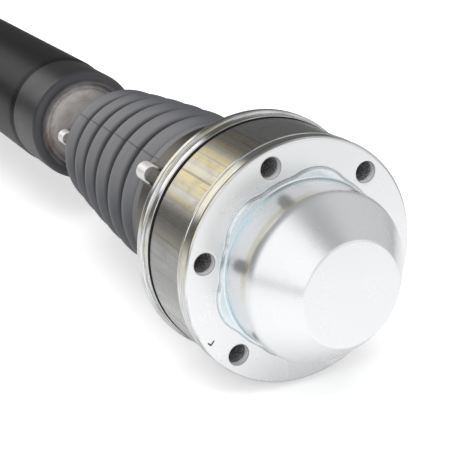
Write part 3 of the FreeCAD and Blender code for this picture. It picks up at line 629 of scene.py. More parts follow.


# %% The two halves of each boot
def to_frame(distance, end):
    """The point of the shaft's axis at a distance behind an end's mounting face, in the frame's metres."""
    return Vector(carry([-distance, 0, 0], end))


for end in ENDS:
    half = make_piece(end + "_boot_joint_half", [turned(joint_half(), BOOT_TURNS, mould_seam)], end)
    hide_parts(end + "_boot")
    to_frame(BOOT_SEAM, end)
    to_frame(CUFF_END + 2, end)
    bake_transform(half)
    half = make_piece(end + "_boot_tube_half", [turned(tube_half(), BOOT_TURNS, mould_seam)], end)
    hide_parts(end + "_boot")
    to_frame(SMALL_CUFF_START + 1, end)
    to_frame(BOOT_SEAM, end)
    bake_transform(half)

# %% [markdown]
# ## Clamps
#
# A steel strip holds each end of the boot. It was tightened by pinching an ear: the strip leaves the ring,
# rises, turns over in a half circle and comes back down. The ring is a turned section. The ear is a path
# in the plane across the shaft, and a thin rounded rectangle is carried along it, square to the path.

# %% Strip carried along a path
CLAMP_METAL = 0.8
EAR_FLARE, EAR_PINCH, EAR_STEPS = 1.3, 0.12, 25


def ear_path(foot, half, height):
    """Points (across, outwards): along the ring, a bend up, a leg, a half circle, and the same back."""
    top = foot + height - half
    bend = [(-half - EAR_FLARE, foot, 0), (-half, foot, EAR_FLARE * 0.55), (-half, top, 0)]
    side = rounded(bend, beside=0)
    swing = np.linspace(math.pi, 0, EAR_STEPS)[1:-1]
    over = np.stack([half * np.cos(swing), top + half * np.sin(swing)], axis=-1)
    return np.concatenate([side, over, side[::-1] * [-1, 1]])


def strip_grid(path, start, width, turn):
    """Point = path + normal * n + axis * a, for (n, a) once round a rounded rectangle. Its ends are shut."""
    step = np.gradient(path, axis=0)
    step /= np.linalg.norm(step, axis=1, keepdims=True)
    normal = np.stack([-step[:, 1], step[:, 0]], axis=-1)
    corner = 0.3 * CLAMP_METAL
    half = 0.5 * CLAMP_METAL
    around = [
        (-half, corner), (-half, width - corner), (corner - half, width), (half - corner, width),
        (half, width - corner), (half, corner), (half - corner, 0.0), (corner - half, 0.0),
    ]
    out = np.array([n for n, _ in around])
    along = np.array([a for _, a in around])
    share = smooth_step((path[:, 1] - path[:, 1].min()) / np.ptp(path[:, 1]))
    along = width / 2 + (along - width / 2) * (1 - EAR_PINCH * share[:, None])
    across = path[:, 0:1] + normal[:, 0:1] * out
    outwards = path[:, 1:2] + normal[:, 1:2] * out
    points = np.stack([-start - along, outwards, across], axis=-1)
    ends = [np.broadcast_to(points[i].mean(axis=0), (1,) + points[i].shape) for i in (0, -1)]
    points = np.concatenate([ends[0], points, ends[1]])
    y = points[..., 1] * math.cos(turn) - points[..., 2] * math.sin(turn)
    z = points[..., 1] * math.sin(turn) + points[..., 2] * math.cos(turn)
    return np.stack([points[..., 0], y, z], axis=-1), True


def clamp_grids(start, width, bore, half, height, turn):
    """A ring of the strip, and an ear on it, half a width across to each side and turned about the shaft."""
    ring = rounded(
        [
            (-start, bore + CLAMP_METAL / 2, 0),
            (-start, bore + CLAMP_METAL, 0.25),
            (-start - width, bore + CLAMP_METAL, 0.25),
            (-start - width, bore, 0.2),
            (-start, bore, 0.2),
            (-start, bore + CLAMP_METAL / 2, 0),
        ],
        steps=4,
        beside=0.03,
    )
    path = ear_path(bore + CLAMP_METAL * 1.45, half - CLAMP_METAL / 2, height - CLAMP_METAL * 0.95)
    return [turned(ring), strip_grid(path, start, width, turn)]


LARGE_STRAP = {"start": 63.0, "width": 8.5, "bore": CUFF_RADIUS + RUBBER_CLEAR}
LARGE_EAR = {"half": 4.0, "height": 6.6, "turn": math.radians(146)}
SMALL_STRAP = {"start": 189.0, "width": 7.0, "bore": SMALL_CUFF_RADIUS + RUBBER_CLEAR}
SMALL_EAR = {"half": 3.5, "height": 6.0, "turn": math.radians(168)}
for end in ENDS:
    grids = clamp_grids(**LARGE_STRAP, **LARGE_EAR)
    dress(make_piece(end + "_large_strap", grids, end), end + "_housing", end + "_large_clamp")
    grids = clamp_grids(**SMALL_STRAP, **SMALL_EAR)
    dress(make_piece(end + "_small_strap", grids, end), "shaft", end + "_small_clamp")

# %% [markdown]
# ## Stub shafts and tube
#
# The stub shaft is one forging: a splined end in the joint, a slim shank inside the boot, a seat for the
# small cuff, and a wide collar with a dished face. The collar is welded to the tube. Only a bead with
# fine ripples shows of the weld, and it is painted over with the tube.

# %% Stub shaft and tube
INNER_FRONT, INNER_BACK = JOINT_CENTRE - 13.0, JOINT_CENTRE + 13.0
COLLAR_START, COLLAR_END = 223.0, 257.0
COLLAR_RADIUS = 29.7
DISH_RADIUS, DISH_DEPTH = 23.3, 2.2
TUBE_RADIUS, TUBE_WALL = 30.5, 2.2
TIP, CLIP_GROOVE, SHANK_END, SEAT_START, ROOT_END = 4.3, 6.0, 178.0, 183.0, 211.0
SPLINE_RADIUS, CLIP_GROOVE_RADIUS = 14.0, 12.7
SHOULDER_RADIUS, SHANK_RADIUS, ROOT_RADIUS = 16.5, 13.0, 17.2
SPIGOT_RADIUS, SPIGOT_LENGTH = TUBE_RADIUS - TUBE_WALL - 0.1, 10
STUB_TURNS, TUBE_TURNS = 144, 432
WELD_MIDDLE, WELD_HALF, WELD_END = COLLAR_END + 3, 2.9, 7.5
RIPPLES, RIPPLE_HEIGHT, RIPPLE_LEAN = 72, 0.03, 1.1


def stub_grids():
    """The forging's section (distance behind the face, radius, rounding), turned round the shaft."""
    section = [
        (TIP, 0.0, 0),
        (TIP, SPLINE_RADIUS, 1.0),
        (CLIP_GROOVE, SPLINE_RADIUS, 0),
        (CLIP_GROOVE, CLIP_GROOVE_RADIUS, 0),
        (INNER_FRONT, CLIP_GROOVE_RADIUS, 0),
        (INNER_FRONT, SPLINE_RADIUS, 0),
        (INNER_BACK, SPLINE_RADIUS, 0),
        (INNER_BACK, SHOULDER_RADIUS, 0.3),
        (INNER_BACK + 4, SHOULDER_RADIUS, 0.8),
        (INNER_BACK + 7, SHANK_RADIUS, 2.0),
        (SHANK_END, SHANK_RADIUS, 3.0),
        (SEAT_START, SHANK_SEAT, 1.5),
        (SMALL_CUFF_END, SHANK_SEAT, 0.3),
        (SMALL_CUFF_END + 0.8, ROOT_RADIUS, 0.8),
        (ROOT_END, ROOT_RADIUS, 5.0),
        (COLLAR_START + DISH_DEPTH, DISH_RADIUS - 2.4, 1.0),
        (COLLAR_START + DISH_DEPTH, DISH_RADIUS, 1.2),
        (COLLAR_START, DISH_RADIUS, 0.9),
        (COLLAR_START, COLLAR_RADIUS, 4.2),
        (COLLAR_END, COLLAR_RADIUS, 0.1),
        (COLLAR_END, SPIGOT_RADIUS, 0.1),
        (COLLAR_END + SPIGOT_LENGTH, SPIGOT_RADIUS, 0.5),
        (COLLAR_END + SPIGOT_LENGTH, 0.0, 0),
    ]
    return [turned(rounded([(-x, r, round_off) for x, r, round_off in section]), STUB_TURNS)]


def weld_ripple(x, radius, angle):
    """Ripples of a weld bead: height * bump * cos(ripples * a + lean * bump), bump highest in its middle."""
    distance = SHAFT_LENGTH / 2 - np.abs(x + SHAFT_LENGTH / 2)
    bump = np.clip(1 - ((distance - WELD_MIDDLE) / WELD_HALF) ** 2, 0, 1)
    return RIPPLE_HEIGHT * bump * np.cos(RIPPLES * angle + RIPPLE_LEAN * bump)


def tube_grids():
    """The tube's section, turned. At each end the radius follows the bead's line (distance, rise)."""
    bead = [(0.0, -0.74), (1.2, -0.62), (2.6, -0.36), (4.0, -0.12), (5.4, -0.01), (7.0, 0.0)]
    near = [(-COLLAR_END - x, TUBE_RADIUS + r) for x, r in bead]
    far = [(-SHAFT_LENGTH - x, r) for x, r in near[::-1]]
    bore = TUBE_RADIUS - TUBE_WALL
    ends = (-COLLAR_END, -SHAFT_LENGTH + COLLAR_END)
    middle = [(x, TUBE_RADIUS) for x in np.linspace(ends[0] - WELD_END, ends[1] + WELD_END, 9)]
    section = [(ends[0], bore)] + near + middle + far + [(ends[1], bore), (ends[0], bore)]
    return [turned(section, TUBE_TURNS, weld_ripple)]


for end in ENDS:
    dress(make_piece(end + "_stub", stub_grids(), end), "shaft", end + "_stub_shaft")
dress(make_piece("tube_wall", tube_grids()), "shaft", "tube")

# %% [markdown]
# ## Finishes
#
# A finish is a small graph of shader nodes. To keep the sums readable, a socket is wrapped in a class whose
# operators add Math nodes, so 1 - mask is written just like that. Any other node comes from one method.
# Patterns read the object's own coordinates, because every piece sits at the origin with its place in its
# mesh. From them come the distance behind the nearest mounting face, the radius and the angle.

# %% Sockets with operators
class Wire:
    """A socket in a graph. Sums with numbers or other sockets add the Math node that works them out."""

    def __init__(self, graph, socket):
        self.graph, self.socket = graph, socket

    def math(self, operation, *others):
        """A Math node with this socket as its first value."""
        return self.graph.node("Math", {"operation": operation}, dict(enumerate((self, *others))))

    def __add__(self, other):
        return self.math("ADD", other)

    def __sub__(self, other):
        return self.math("SUBTRACT", other)

    def __rsub__(self, other):
        return self.graph.node("Math", {"operation": "SUBTRACT"}, {0: other, 1: self})

    def __mul__(self, other):
        return self.math("MULTIPLY", other)

    def __truediv__(self, other):
        return self.math("DIVIDE", other)

    def __pow__(self, other):
        return self.math("POWER", other)

    def __neg__(self):
        return self.math("MULTIPLY", -1.0)

    __radd__ = __add__
    __rmul__ = __mul__

    def size(self):
        """The value without its sign."""
        return self.math("ABSOLUTE")

    def ramp(self, start, end):
        """0 at start and 1 at end, smooth between; start may be the larger."""
        low, high, flip = (start, end, False) if start < end else (end, start, True)
        settings = {"interpolation_type": "SMOOTHSTEP"}
        step = self.graph.node("MapRange", settings, {"Value": self, "From Min": low, "From Max": high})
        return 1 - step if flip else step

    def between(self, start, full, fade, end):
        """0 outside start and end, 1 from full to fade: the product of two ramps."""
        return self.ramp(start, full) * self.ramp(end, fade)

    def towards(self, centre, start, end):
        """For an angle: a ramp over the cosine of its distance from centre, 1 on that side of the shaft."""
        return (self - centre).math("COSINE").ramp(start, end)


# A Mix node's colour sockets come after those for numbers and vectors.
MIX_FIRST, MIX_SECOND, MIX_COLOUR = 6, 7, 2


class Graph:
    """Adds nodes to a node tree and links them."""

    def __init__(self, tree):
        self.tree = tree

    def put(self, socket, value):
        """Links a wire to a socket, or writes a plain value on it."""
        if isinstance(value, Wire):
            self.tree.links.new(value.socket, socket)
        else:
            socket.default_value = value

    def node(self, kind, settings=None, inputs=None, output=0):
        """Adds a node, sets it up, fills its inputs and gives back one output as a wire."""
        node = self.tree.nodes.new("ShaderNode" + kind)
        for name, value in (settings or {}).items():
            setattr(node, name, value)
        for name, value in (inputs or {}).items():
            self.put(node.inputs[name], value)
        return Wire(self, node.outputs[output])

    def axes(self, vector):
        """The three parts of a vector."""
        node = self.node("SeparateXYZ", inputs={0: vector}).socket.node
        return [Wire(self, socket) for socket in node.outputs]

    def mix(self, share, first, second):
        """Colour = first + share * (second - first)."""
        node = self.node("Mix", {"data_type": "RGBA"}, {0: share}).socket.node
        self.put(node.inputs[MIX_FIRST], first)
        self.put(node.inputs[MIX_SECOND], second)
        return Wire(self, node.outputs[MIX_COLOUR])


class Finish(Graph):
    """A material with one Principled shader. Constant values go straight to the shader's sockets."""

    def __init__(self, name, **constants):
        self.material = bpy.data.materials.new(name)
        self.material.use_nodes = True
        super().__init__(self.material.node_tree)
        self.shader = self.tree.nodes["Principled BSDF"]
        for socket, value in constants.items():
            self.shader.inputs[socket.replace("_", " ")].default_value = value

    def feed(self, socket, value):
        """Gives one of the shader's sockets a wire."""
        self.put(self.shader.inputs[socket], value)

    def places(self):
        """Distance behind the nearest mounting face, radius and angle about the shaft, in mm and radians."""
        x, y, z = (axis / MM for axis in self.axes(self.node("TexCoord", output="Object")))
        distance = SHAFT_LENGTH / 2 - (x + SHAFT_LENGTH / 2).size()
        return distance, (y * y + z * z) ** 0.5, z.math("ARCTAN2", y)

    def noise(self, x, y, z, detail=2.0, rough=0.5):
        """Noise from 0 to 1 over three measures, each already scaled to its own grain."""
        vector = self.node("CombineXYZ", inputs={0: x, 1: y, 2: z})
        inputs = {"Vector": vector, "Scale": 1.0, "Detail": detail, "Roughness": rough}
        return self.node("TexNoise", {"noise_dimensions": "3D"}, inputs)

    def round_noise(self, distance, radius, angle, along, round_, detail=2.0, rough=0.5):
        """Noise on a turned surface: it changes along times in a mm of length, round_ times in a radian."""
        across = angle.math("COSINE") * round_
        upwards = angle.math("SINE") * round_ + radius * along
        return self.noise(distance * along, across, upwards, detail, rough)

    def bump(self, height, depth):
        """Bends the normal by a height from 0 to 1 that stands for a depth in millimetres."""
        inputs = {"Height": height, "Distance": depth * MM, "Strength": 1.0}
        self.feed("Normal", self.node("Bump", inputs=inputs))


def colour(red, green, blue):
    """A colour in linear light, without transparency."""
    return (red, green, blue, 1.0)


def paint(finish, *names):
    """Gives a finish to pieces or CAD nodes."""
    for name in names:
        mesh = bpy.data.objects[name].data
        mesh.materials.clear()
        mesh.materials.append(finish.material)
    print("%-16s %d pieces, %d nodes" % (finish.material.name, len(names), len(finish.tree.nodes)))


def both(*names):
    """The names of the same pieces at the front and the rear end."""
    return [end + "_" + name for end in ENDS for name in names]


# %% [markdown]
# ## Zinc plate
#
# The cap and the can are bright zinc: almost a mirror, a little cloudy, with a grain that shows where the
# mirrored light changes. Where the press bent the sheet most it tells: the plating beside the step and at the
# drum's foot shines faintly blue. Painted shade darkens the foot of the step and the drum's foot. On the side
# of the shaft that faces a bright window, a warm yellowish reflection is painted on the folded rims and the
# cap's shoulder. The holes' lips get a painted dark edge, and the front flange has a nick of two short
# strokes, found by a point's distance from two lines.

# %% Sides of the shaft and the nick
LIT_SIDE_ANGLE, DARK_BAND_ANGLE, RUSTY_ANGLE = math.radians(138), math.radians(176), math.radians(212)
MARK = ((-41.0, -25.0), (-39.9, -26.0), (-38.7, -24.5))
MARK_WIDTH = 0.42


def away_from(start, end, y, z):
    """Distance in mm to a stroke between two points (y, z) of the flange: the gap to start + share * run."""
    run = (end[0] - start[0], end[1] - start[1])
    share = ((y - start[0]) * run[0] + (z - start[1]) * run[1]) / (run[0] ** 2 + run[1] ** 2)
    share = share.math("MAXIMUM", 0.0).math("MINIMUM", 1.0)
    gap_y, gap_z = y - start[0] - share * run[0], z - start[1] - share * run[1]
    return (gap_y * gap_y + gap_z * gap_z) ** 0.5


print("nick: %d strokes, %.2f mm wide" % (len(MARK) - 1, MARK_WIDTH))

# %% Zinc plate
BRIGHT_ZINC = colour(0.79, 0.8, 0.81)
PRESSED_ZINC = colour(0.36, 0.36, 0.35)
NECK_ZINC = colour(0.46, 0.45, 0.43)
RIM_REFLECTION_TINT, SHOULDER_REFLECTION_TINT = colour(0.6, 0.57, 0.45), colour(0.62, 0.57, 0.4)
STEP_FOOT_SHADE, BLUED_ZINC = colour(0.25, 0.3, 0.34), colour(0.52, 0.75, 0.83)
LIP_SHADE, DARK_NICK = colour(0.12, 0.12, 0.12), colour(0.01, 0.01, 0.01)
zinc = Finish("zinc_plate")
distance, radius, angle = zinc.places()
y, z = radius * angle.math("COSINE"), radius * angle.math("SINE")
at_front = zinc.axes(zinc.node("TexCoord", output="Object"))[0].ramp(-0.02, -0.01)
stroke = away_from(*MARK[:2], y, z).math("MINIMUM", away_from(*MARK[1:], y, z))
nick = stroke.ramp(MARK_WIDTH, MARK_WIDTH / 2) * at_front
cloud = zinc.noise(distance * 0.08, y * 0.08, z * 0.08, 3.0)
grain = zinc.noise(distance * 1.6, y * 1.6, z * 1.6, 2.0)
brush = zinc.round_noise(distance, radius, angle, 4.0, 6.0, 3.0)
step_side = distance.between(-0.15, -0.7, -1.5, -3.6) * radius.ramp(41.0, 39.4)
rim = radius.ramp(LAND_RADIUS - 0.1, RIM_RADIUS - 0.2)
# Painted reflection: a warm yellowish tint on the rims, on the side of the shaft that faces a bright window.
warm_reflection = rim * cloud.ramp(0.35, 0.6) * angle.towards(LIT_SIDE_ANGLE, 0.6, 0.92)
rolled = rim * brush.ramp(0.4, 0.62)
# Painted reflection: the same warm tint on the cap's shoulder, on that side.
shoulder = distance.between(-12.0, -13.8, -15.4, -17.6) * angle.towards(LIT_SIDE_ANGLE, 0.6, 0.9)
plating = zinc.mix(warm_reflection, BRIGHT_ZINC, RIM_REFLECTION_TINT)
plating = zinc.mix(0.7 * rolled, plating, PRESSED_ZINC)
plating = zinc.mix(0.55 * shoulder, plating, SHOULDER_REFLECTION_TINT)
outline = distance.between(-0.03, -0.2, -0.4, -0.75)
foot = distance.between(-1.78, -1.95, -2.2, -2.7)
# Painted shade: the concave foot of the step and the drum's foot are darkened.
step_foot_shade = radius.ramp(40.5, 39.5) * radius.ramp(33.9, 34.4) * (outline + foot)
plating = zinc.mix(0.6 * step_foot_shade, plating, STEP_FOOT_SHADE)
drum_foot = distance.between(-1.9, -2.4, -3.0, -6.5) * radius.between(33.4, 33.9, 36.0, 36.5)
blued = 0.3 * step_side + 0.5 * drum_foot
plating = zinc.mix(blued * cloud.ramp(0.25, 0.65), plating, BLUED_ZINC)
in_hole = distance.ramp(0.05, 0.12) * radius.ramp(49.3, 48.6) * distance.ramp(41.5, 40.5)
# Painted shade: a dark ring on the rounded edge of each bolt hole.
lip_shade = in_hole * distance.ramp(0.55, 0.4)
plating = zinc.mix(0.7 * lip_shade, plating, LIP_SHADE)
plating = zinc.mix(nick, plating, DARK_NICK)
neck = distance.ramp(42.3, 43.5)
zinc.feed("Base Color", zinc.mix(neck, plating, NECK_ZINC))
zinc.feed("Metallic", (0.85 + 0.15 * rim - 0.7 * in_hole) * (1 - nick))
zinc.feed("Roughness", 0.24 + 0.08 * cloud - 0.1 * rim - 0.1 * step_side + 0.2 * in_hole + 0.12 * neck)
zinc.bump(grain * radius.ramp(17, 24) * radius.ramp(37, 33), 0.009)
paint(zinc, *both("cap_skin", "can_skin"))

# %% [markdown]
# ## Machined steel
#
# The race's bare side was turned, then handled. Fine streaks run along the shaft: noise that changes
# quickly with the angle and slowly with the distance. On the side that faces a bright window a warm
# reflection is painted in yellowish bands, and the streaks and scratches are drawn stronger there. Beside
# them runs a darker band, broken up by smudges. A few scratches and the darker blotches where fingers
# touched it come last. Inside the bolt holes a highlight is painted at the mouth, and further in the steel
# is painted darker as shade and flecked by the drill.

# %% Machined steel
TURNED_STEEL = colour(0.52, 0.52, 0.52)
WARM_REFLECTION_STEEL = colour(0.52, 0.45, 0.25)
STREAKED_STEEL = colour(0.42, 0.4, 0.36)
DARK_BAND_STEEL = colour(0.17, 0.17, 0.17)
HANDLED_STEEL = colour(0.3, 0.29, 0.28)
SCRATCHED_STEEL = colour(0.17, 0.15, 0.11)
LIT_HOLE_MOUTH = colour(0.95, 0.95, 0.95)
SHADED_BORE = colour(0.22, 0.22, 0.225)
BRIGHT_BORE = colour(0.8, 0.8, 0.8)
steel = Finish("machined_steel")
distance, radius, angle = steel.places()
streak = steel.round_noise(distance, radius, angle, 0.004, 42.0, 4.0, 0.65)
band = steel.round_noise(distance, radius, angle, 0.002, 7.0, 2.0)
smudge = steel.round_noise(distance, radius, angle, 0.12, 9.0, 5.0, 0.7)
scratch = steel.round_noise(distance, radius, angle, 0.012, 24.0, 1.0).ramp(0.6, 0.68)
# Painted reflection: a warm tint in bands on the side that faces the bright window, where the streaks and
# scratches are also drawn stronger.
lit_side = angle.towards(LIT_SIDE_ANGLE, 0.82, 0.93)
warm_reflection = (0.3 + 0.7 * band.ramp(0.38, 0.54)) * (0.04 + 0.96 * lit_side)
side = steel.mix(warm_reflection, TURNED_STEEL, WARM_REFLECTION_STEEL)
side = steel.mix((0.35 + 0.65 * lit_side) * streak.ramp(0.42, 0.66), side, STREAKED_STEEL)
# A darker band at one angle of the side, broken up by smudges.
dark_band = angle.towards(DARK_BAND_ANGLE, 0.9, 0.985) * (0.5 + 0.5 * smudge)
side = steel.mix(0.75 * dark_band, side, DARK_BAND_STEEL)
side = steel.mix(0.6 * smudge.ramp(0.5, 0.75), side, HANDLED_STEEL)
side = steel.mix((0.25 + 0.35 * lit_side) * scratch, side, SCRATCHED_STEEL)
# Painted highlight at the mouth of each bolt hole, and painted shade further in, broken by drill flecks.
deep = distance.ramp(CAP_METAL + 1.8, CAP_METAL + 2.2)
chips = steel.noise(distance * 2.0, angle * 60.0, radius * 2.0)
hole_light_shade_and_flecks = steel.mix(deep, LIT_HOLE_MOUTH, steel.mix(chips.ramp(0.45, 0.7), SHADED_BORE, BRIGHT_BORE))
outer = radius.ramp(48.6, 49.2)
steel.feed("Base Color", steel.mix(outer, hole_light_shade_and_flecks, side))
steel.feed("Metallic", outer + (1 - outer) * 0.3)
steel.feed("Roughness", 0.2 + 0.16 * smudge + (1 - outer) * 0.2)
steel.bump(streak, 0.006)
paint(steel, *both("race_ring"))

# %% [markdown]
# ## Hard steel
#
# The hidden pieces inside the joint are hardened and ground: bright steel with a fine, even grain. They
# keep the meshes of the CAD model and only get this finish.

# %% Hard steel
DARK_GRAIN, BRIGHT_GRAIN = colour(0.5, 0.5, 0.49), colour(0.62, 0.61, 0.6)
hard = Finish("hard_steel", Metallic=1.0)
distance, radius, angle = hard.places()
fine = hard.round_noise(distance, radius, angle, 1.5, 50.0)
hard.feed("Base Color", hard.mix(fine, DARK_GRAIN, BRIGHT_GRAIN))
hard.feed("Roughness", 0.18 + 0.1 * fine)
paint(hard, *both("ball_cage", "balls", "inner_race", "circlip"))

# %% [markdown]
# ## Rubber
#
# Boot rubber is slate-dark and satin. Dust dulls it unevenly, painted shade darkens the creases, and round
# one of the seams a paler grey is painted on as a sheen. The mould left a fine grain and a thin seam along
# each side.
# The seal is a blacker, matt rubber.

# %% Rubber
DARK_RUBBER = colour(0.064, 0.066, 0.075)
DUSTY_RUBBER = colour(0.1, 0.102, 0.113)
SHEEN_RUBBER = colour(0.25, 0.25, 0.258)
CREASE_SHADE_RUBBER, SEAM_RUBBER = colour(0.01, 0.01, 0.013), colour(0.02, 0.02, 0.024)
rubber = Finish("boot_rubber", Specular_IOR_Level=0.45)
distance, radius, angle = rubber.places()
dust = rubber.round_noise(distance, radius, angle, 0.05, 2.0, 4.0)
pebble = rubber.round_noise(distance, radius, angle, 1.8, 60.0, 2.0)
in_seam = ((angle - SEAM_ANGLE).math("SINE").size() * radius).ramp(0.55, 0.2)
fold_number = (distance - LAST_CREST) / FOLD_PITCH
from_crest = (fold_number - fold_number.math("ROUND")).size() * 2
folded = distance.ramp(CUFF_END, CUFF_END + 3) * distance.ramp(SMALL_CUFF_START, SMALL_CUFF_START - 8)
# Painted shade in the creases between the folds.
crease_shade = folded * (from_crest - 0.08 * distance.ramp(150, 90)).ramp(0.44, 0.68)
# Painted sheen: a paler grey on the side round one seam, standing in for a highlight.
painted_sheen = angle.towards(SEAM_ANGLE, 0.6, 0.99)
skin = rubber.mix(0.55 * painted_sheen, rubber.mix(dust, DARK_RUBBER, DUSTY_RUBBER), SHEEN_RUBBER)
skin = rubber.mix(0.95 * crease_shade, skin, CREASE_SHADE_RUBBER)
rubber.feed("Base Color", rubber.mix(0.5 * in_seam, skin, SEAM_RUBBER))
rubber.feed("Roughness", 0.42 + 0.16 * dust)
rubber.bump(pebble, 0.02)
paint(rubber, *both("boot_joint_half", "boot_tube_half"))

NEW_SEAL, AGED_SEAL = colour(0.004, 0.004, 0.005), colour(0.012, 0.012, 0.012)
seal = Finish("seal_rubber", Roughness=0.7, Specular_IOR_Level=0.2)
distance, radius, angle = seal.places()
aged = seal.round_noise(distance, radius, angle, 0.5, 20.0)
seal.feed("Base Color", seal.mix(aged, NEW_SEAL, AGED_SEAL))
paint(seal, *both("seal_ring"))

# %% [markdown]
# ## Paint and bare forging
#
# The tube's black paint is satin and slightly wavy, with specks of dust. It runs over the weld and the
# collar and thins out at the edge of the dish, and a lighter blue-grey reflection is painted on the collar's
# front. In the dish the forging is bare: lighter on one side and darker on the other as painted shade, with a
# patch of rust between them, and painted shade towards the shank.

# %% Paint
BLACK_PAINT = colour(0.006, 0.006, 0.007)
PAINT_SPECK = colour(0.03, 0.028, 0.026)
PAINT_WAVE = colour(0.014, 0.013, 0.013)
black = Finish("black_paint", Specular_IOR_Level=0.1)
distance, radius, angle = black.places()
wave = black.round_noise(distance, radius, angle, 0.02, 2.0, 3.0)
speck = black.round_noise(distance, radius, angle, 0.8, 26.0, 2.0)
dusty = black.mix(speck.ramp(0.62, 0.8), BLACK_PAINT, PAINT_SPECK)
black.feed("Base Color", black.mix(wave, dusty, PAINT_WAVE))
black.feed("Roughness", 0.3 + 0.1 * wave)
black.bump(wave, 0.05)
paint(black, "tube_wall")

# %% Bare forging
COLLAR_PAINT, COLLAR_REFLECTION = colour(0.012, 0.012, 0.014), colour(0.034, 0.034, 0.04)
BARE_STEEL, BLOTCHED_STEEL, RUST = colour(0.52, 0.5, 0.49), colour(0.34, 0.32, 0.31), colour(0.33, 0.2, 0.16)
SHADED_SIDE_STEEL, SHANK_SHADE_STEEL = colour(0.16, 0.155, 0.15), colour(0.14, 0.13, 0.12)
stub = Finish("stub_steel")
distance, radius, angle = stub.places()
rust = stub.round_noise(distance, radius, angle, 0.18, 3.0, 5.0, 0.6)
from_dish = (radius + rust * 1.5).ramp(DISH_RADIUS - 2.0, DISH_RADIUS + 3.6)
painted = from_dish * distance.ramp(COLLAR_START - 2, COLLAR_START - 1)
# Painted reflection: the collar's rounded front is a lighter blue-grey.
coat_and_reflection = stub.mix(distance.ramp(COLLAR_START + 6, COLLAR_START + 2), COLLAR_PAINT, COLLAR_REFLECTION)
bare = stub.mix(0.7 * rust.ramp(0.42, 0.66), BARE_STEEL, BLOTCHED_STEEL)
bare = stub.mix(0.6 * (rust.ramp(0.35, 0.6) * angle.towards(RUSTY_ANGLE, 0.6, 0.95)), bare, RUST)
# Painted shade: the bare steel is darker on the side away from the light.
bare = stub.mix(0.6 * (1 - angle.towards(LIT_SIDE_ANGLE, 0.1, 0.95)), bare, SHADED_SIDE_STEEL)
# Painted shade: darker towards the shank, beside the boot.
bare = stub.mix(0.6 * radius.ramp(20.5, 17.5), bare, SHANK_SHADE_STEEL)
stub.feed("Base Color", stub.mix(painted, bare, coat_and_reflection))
stub.feed("Metallic", 0.35 * (1 - painted))
stub.feed("Roughness", 0.42 + 0.15 * rust - 0.12 * painted)
stub.bump(rust, 0.02)
paint(stub, *both("stub"))

# %% [markdown]
# ## Strap steel
#
# The clamps are plain stainless strip, rolled along its length, and its colour is darkened as painted
# shade. The rolling marks are noise that changes quickly across the strip and slowly round it. The ears
# are painted pale as a highlight, and as half metal they look pale from every side.

# %% Strap steel
# Painted shade: both strip colours are darkened.
SHADED_STRAP = colour(0.12, 0.108, 0.098)
SHADED_PALE_STRAP = colour(0.2, 0.185, 0.165)
EAR_HIGHLIGHT = colour(0.82, 0.8, 0.78)
strap = Finish("clamp_steel")
distance, radius, angle = strap.places()
roll = strap.round_noise(distance, radius, angle, 3.0, 3.0, 3.0)
ring_radius = CUFF_RADIUS + CLAMP_METAL + distance.ramp(80, 180) * (SMALL_CUFF_RADIUS - CUFF_RADIUS)
# Painted highlight: the ears are pale.
ear = (radius - ring_radius).ramp(1.2, 3.0)
strap.feed("Base Color", strap.mix(ear, strap.mix(roll, SHADED_STRAP, SHADED_PALE_STRAP), EAR_HIGHLIGHT))
strap.feed("Metallic", 1 - 0.5 * ear)
strap.feed("Roughness", 0.34 + 0.14 * roll)
paint(strap, *both("large_strap", "small_strap"))

# %% [markdown]
# ## Floor and studio
#
# Bright metal shows its surroundings more than itself, so the studio matters. The camera sees pure white,
# as a cut-out product picture has it. The mirrors see a room instead, by the Light Path node: a floor on
# which a pool of light is painted, pale and glowing near the shaft, glowing a little more in front of it and
# greyer further off, as a lit table is, and grey walls. They are lighter behind the shaft and in front of
# its cap, and darker behind the tube. A wide soft window stands beside the camera and a small bright one
# over the boot. Each wall and window is a soft ramp of the world's direction.

# %% Floor and world
DARK_WALL, WALL, FAR_WALL, CAP_WALL = 0.16, 0.28, 0.62, 0.45
SOFT_WINDOW, BACK_WINDOW = 1.22, 1.75
BACK_WINDOW_AT = (-0.83, -0.33, 0.45)
WINDOW_EDGE, WINDOW_BRIGHT = math.radians(21), math.radians(13)
PALE_FLOOR, GREY_FLOOR = colour(0.86, 0.86, 0.86), colour(0.5, 0.5, 0.5)
CAMERA_GLOW, MIRROR_GLOW, FRONT_GLOW = 0.45, 0.1, 0.14
FLOOR_REACH = 3.0
FLOOR_GAP = 0.0002


def make_floor(height):
    """One square in the plane z = height, marked as a backdrop."""
    mesh = bpy.data.meshes.new("floor")
    corners = [(x * FLOOR_REACH, y * FLOOR_REACH, height) for x, y in ((-1, -1), (1, -1), (1, 1), (-1, 1))]
    mesh.from_pydata(corners, [], [(0, 1, 2, 3)])
    floor = bpy.data.objects.new("floor", mesh)
    bpy.context.scene.collection.objects.link(floor)
    floor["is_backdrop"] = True
    return floor


ground = Finish("floor_white", Roughness=1.0, Specular_IOR_Level=0.0)
to_camera = ground.node("LightPath", output="Is Camera Ray")
in_gloss = ground.node("LightPath", output="Is Glossy Ray")
in_mirror = in_gloss + ground.node("LightPath", output="Is Transmission Ray")
ahead, side, _ = ground.axes(ground.node("TexCoord", output="Object"))
# Painted pool of light for mirrors: the floor is paler and glows near the shaft, and glows more in front of
# the cap.
lit = side.size().ramp(0.6, 0.2)
in_front = ahead.between(-0.02, 0.02, 0.12, 0.24)
mirrored = ground.mix(lit, GREY_FLOOR, PALE_FLOOR)
ground.feed("Base Color", ground.mix(to_camera, mirrored, PALE_FLOOR))
glow = CAMERA_GLOW * to_camera + in_mirror * lit * (MIRROR_GLOW + FRONT_GLOW * in_front)
ground.feed("Emission Strength", glow)
ground.shader.inputs["Emission Color"].default_value = colour(1, 1, 1)
make_floor(cad_box[0][2] - FLOOR_GAP).data.materials.append(ground.material)

